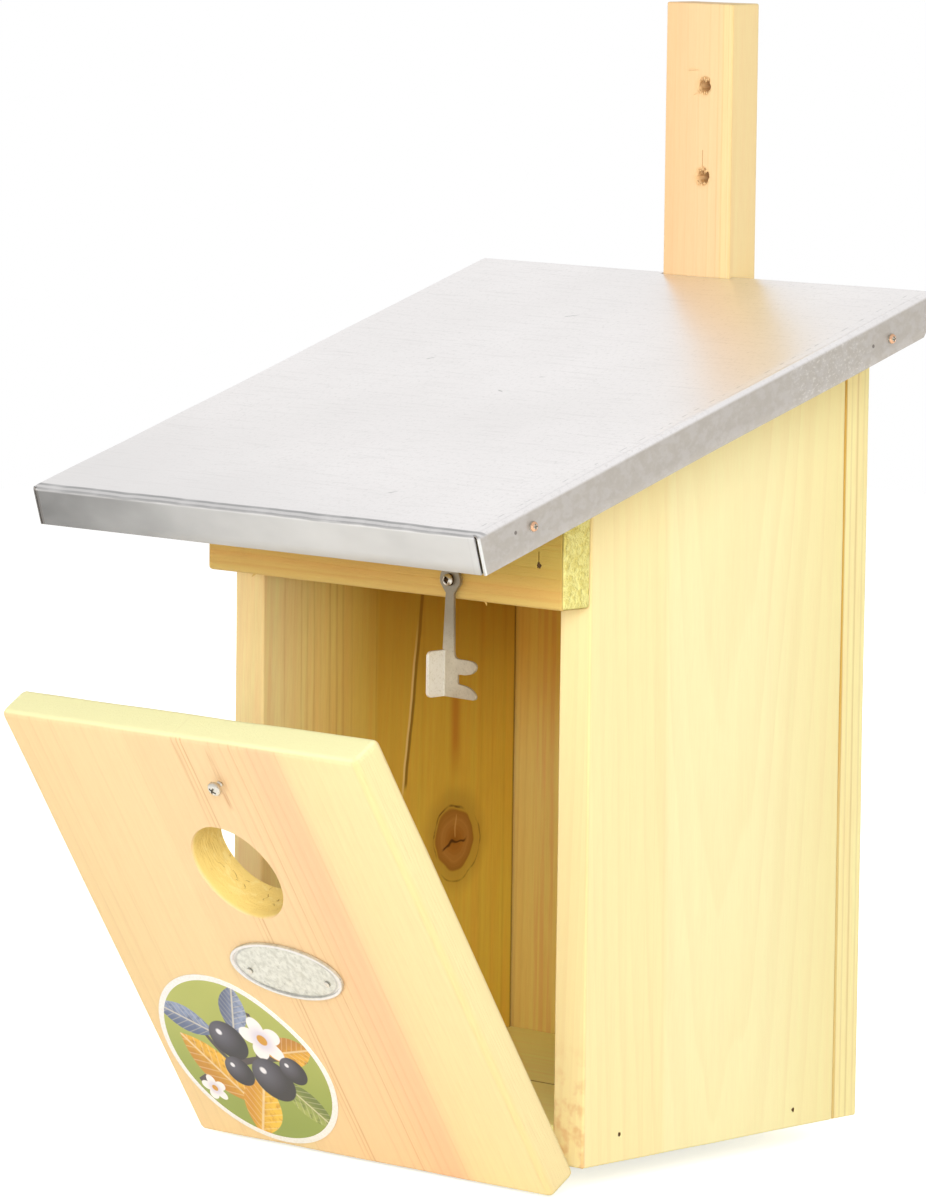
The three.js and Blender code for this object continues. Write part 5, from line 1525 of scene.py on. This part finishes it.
def label_ring(inset, y):
    """Points round the paper, an oval with one flatter side."""
    ring = []
    wide, high = (size - inset for size in LABEL_HALF_SIZES)
    for side in range(LABEL_SIDES):
        angle = 2 * math.pi * side / LABEL_SIDES
        away = abs(math.remainder(angle - LABEL_FLAT_ANGLE, 2 * math.pi)) / LABEL_FLAT_REACH
        share = 1 - LABEL_FLAT_SHARE * math.exp(-away * away)
        x, z = wide * share * math.cos(angle), high * share * math.sin(angle)
        ring.append((LABEL_X + x, y, LABEL_Z + z))
    return ring


def label_mesh():
    """Rings over the paper's edge and white border to the picture, whose faces take the first material."""
    edge = [(0.0, LABEL_BACK), (0.0, LABEL_FRONT + LABEL_EASE), (LABEL_EASE, LABEL_FRONT)]
    rings = edge + [(LABEL_BORDER + step * LABEL_RING_STEP, LABEL_FRONT) for step in range(6)]
    bm = ringed([label_ring(inset, y) for inset, y in rings])
    faces = list(bm.faces)
    for face in faces[:1] + faces[2 : 2 + len(edge) * LABEL_SIDES]:
        face.material_index = 1
    return bm


def paper():
    shader = Shader("paper_white")
    fibres = shader.place().noise(1.2, 4, 0.7)
    tone = mix(fibres.step(0.4, 0.7), "fdfaf6", "f3eee6")
    return shader.finished(tone, 0.5, 0, fibres, 0.02, 0.4)


def drawn_twig(tone, point, twig):
    middle, turn, half, bow, thickness = twig
    along, across, _ = point.mapped(middle, math.radians(turn), (1, 1)).axes()
    curve = squared(along) * (bow / half ** 2)
    return mix((across + curve).band(0, thickness, 0.15) * along.band(0, half, 0.3), tone, "4c4240")


def drawn_leaf(tone, point, leaf):
    middle, turn, sizes, light, dark = leaf
    along, across, _ = point.mapped(middle, math.radians(turn), sizes).axes()
    width = abs(across) + squared(along)
    rib = across.band(0, 0.03, 0.06) * 0.5
    veins = along.shader.math("FRACT", along * 4.5 + abs(across) * -2.0).band(0.5, 0.04, 0.1) * 0.22
    surface = mix(across.step(-0.7, 0.7), light, dark)
    surface = mix(point.noise(0.5, 3).step(0.45, 0.75), surface, dark)
    surface = mix(largest(rib, veins), surface, "fff3d0")
    return mix(width.step(0.97, 1.0, 1.0, 0.0), tone, surface)


def drawn_blossom(tone, point, middle, radius):
    local = point.mapped(middle, BLOSSOM_TURN, (radius, radius))
    a, b, _ = local.axes()
    math_node = point.shader.math
    away = local.length()
    petals = abs(math_node("COSINE", math_node("ARCTAN2", b, a) * 2.5))
    mask = (away - math_node("MULTIPLY_ADD", petals, 0.42, 0.6)).step(-0.04, 0.02, 1.0, 0.0)
    surface = mix(away.step(0.2, 0.75), "e4dcea", "fffaf8")
    surface = mix(away.step(0.26, 0.2), surface, "d79a28")
    return mix(mask, tone, surface)


def drawn_berry(tone, point, middle, radius):
    local = point.mapped(middle, 0, (radius, radius))
    light = (local - BERRY_GLINT).length()
    surface = mix(light.step(0.1, 1.2), "5a5864", "262327")
    surface = mix(light.step(0.2, 0.1), surface, "f4f2f6")
    return mix(local.length().step(0.96, 1.02, 1.0, 0.0), tone, surface)


def squared(field):
    return field.worked("POWER", abs(field), 2.0)


def picture():
    shader = Shader("printed_picture")
    x, _, z = shader.place().axes()
    point = joined(x, z, 0) - (LABEL_X, LABEL_Z, 0)
    tone = mix(point.noise(0.03, 2), "a9b052", "c2c468")
    tone = mix(point.axes()[1].step(28, -28), tone, "93a244")
    for twig in TWIGS:
        tone = drawn_twig(tone, point, twig)
    for leaf in LEAVES:
        tone = drawn_leaf(tone, point, leaf)
    for blossom in BLOSSOMS:
        tone = drawn_blossom(tone, point, *blossom)
    for berry in BERRIES:
        tone = drawn_berry(tone, point, *berry)
    return shader.finished(tone, 0.42, 0, point.noise(1.2, 3), 0.02, 0.3)


def add_label():
    piece("picture_sheet", "picture_label", label_mesh(), [picture(), paper()], "door")


# The nodes that keep their own shape get finer metal and softer edges.
NODE_BEVEL = 0.12
KEPT_NODES = ("hinge", "latch_spacer", "floor_nail", "back_nail", "rail_nail", "roof_nail", "batten_screw")


def dress_nodes(steel, dull):
    for name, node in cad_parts.items():
        if not name.startswith(KEPT_NODES):
            continue
        node.data.materials.clear()
        node.data.materials.append(dull if "nail" in name else steel)
        bevel = node.modifiers.new("soft_edges", "BEVEL")
        bevel.width = NODE_BEVEL * MM
        bevel.segments = 2
        bevel.limit_method = "ANGLE"


def main():
    bpy.context.scene.view_settings.view_transform = "Standard"
    steel = screw_metal("bright_steel", "dedbd2", "bdb8ac", "7c7466")
    copper = screw_metal("copper_steel", "eabf9e", "d39f78", "8a6448")
    dull = screw_metal("dull_steel", "6a5238", "432f1a", "22160a")
    add_camera()
    add_world()
    add_floor()
    add_lamps()
    add_sides()
    add_back()
    add_floor_boards()
    add_rail()
    add_roof_board()
    add_batten()
    add_door()
    add_roof_sheet()
    add_screws(steel, copper, dull)
    add_latch()
    add_badge(steel)
    add_label()
    dress_nodes(steel, dull)


main()
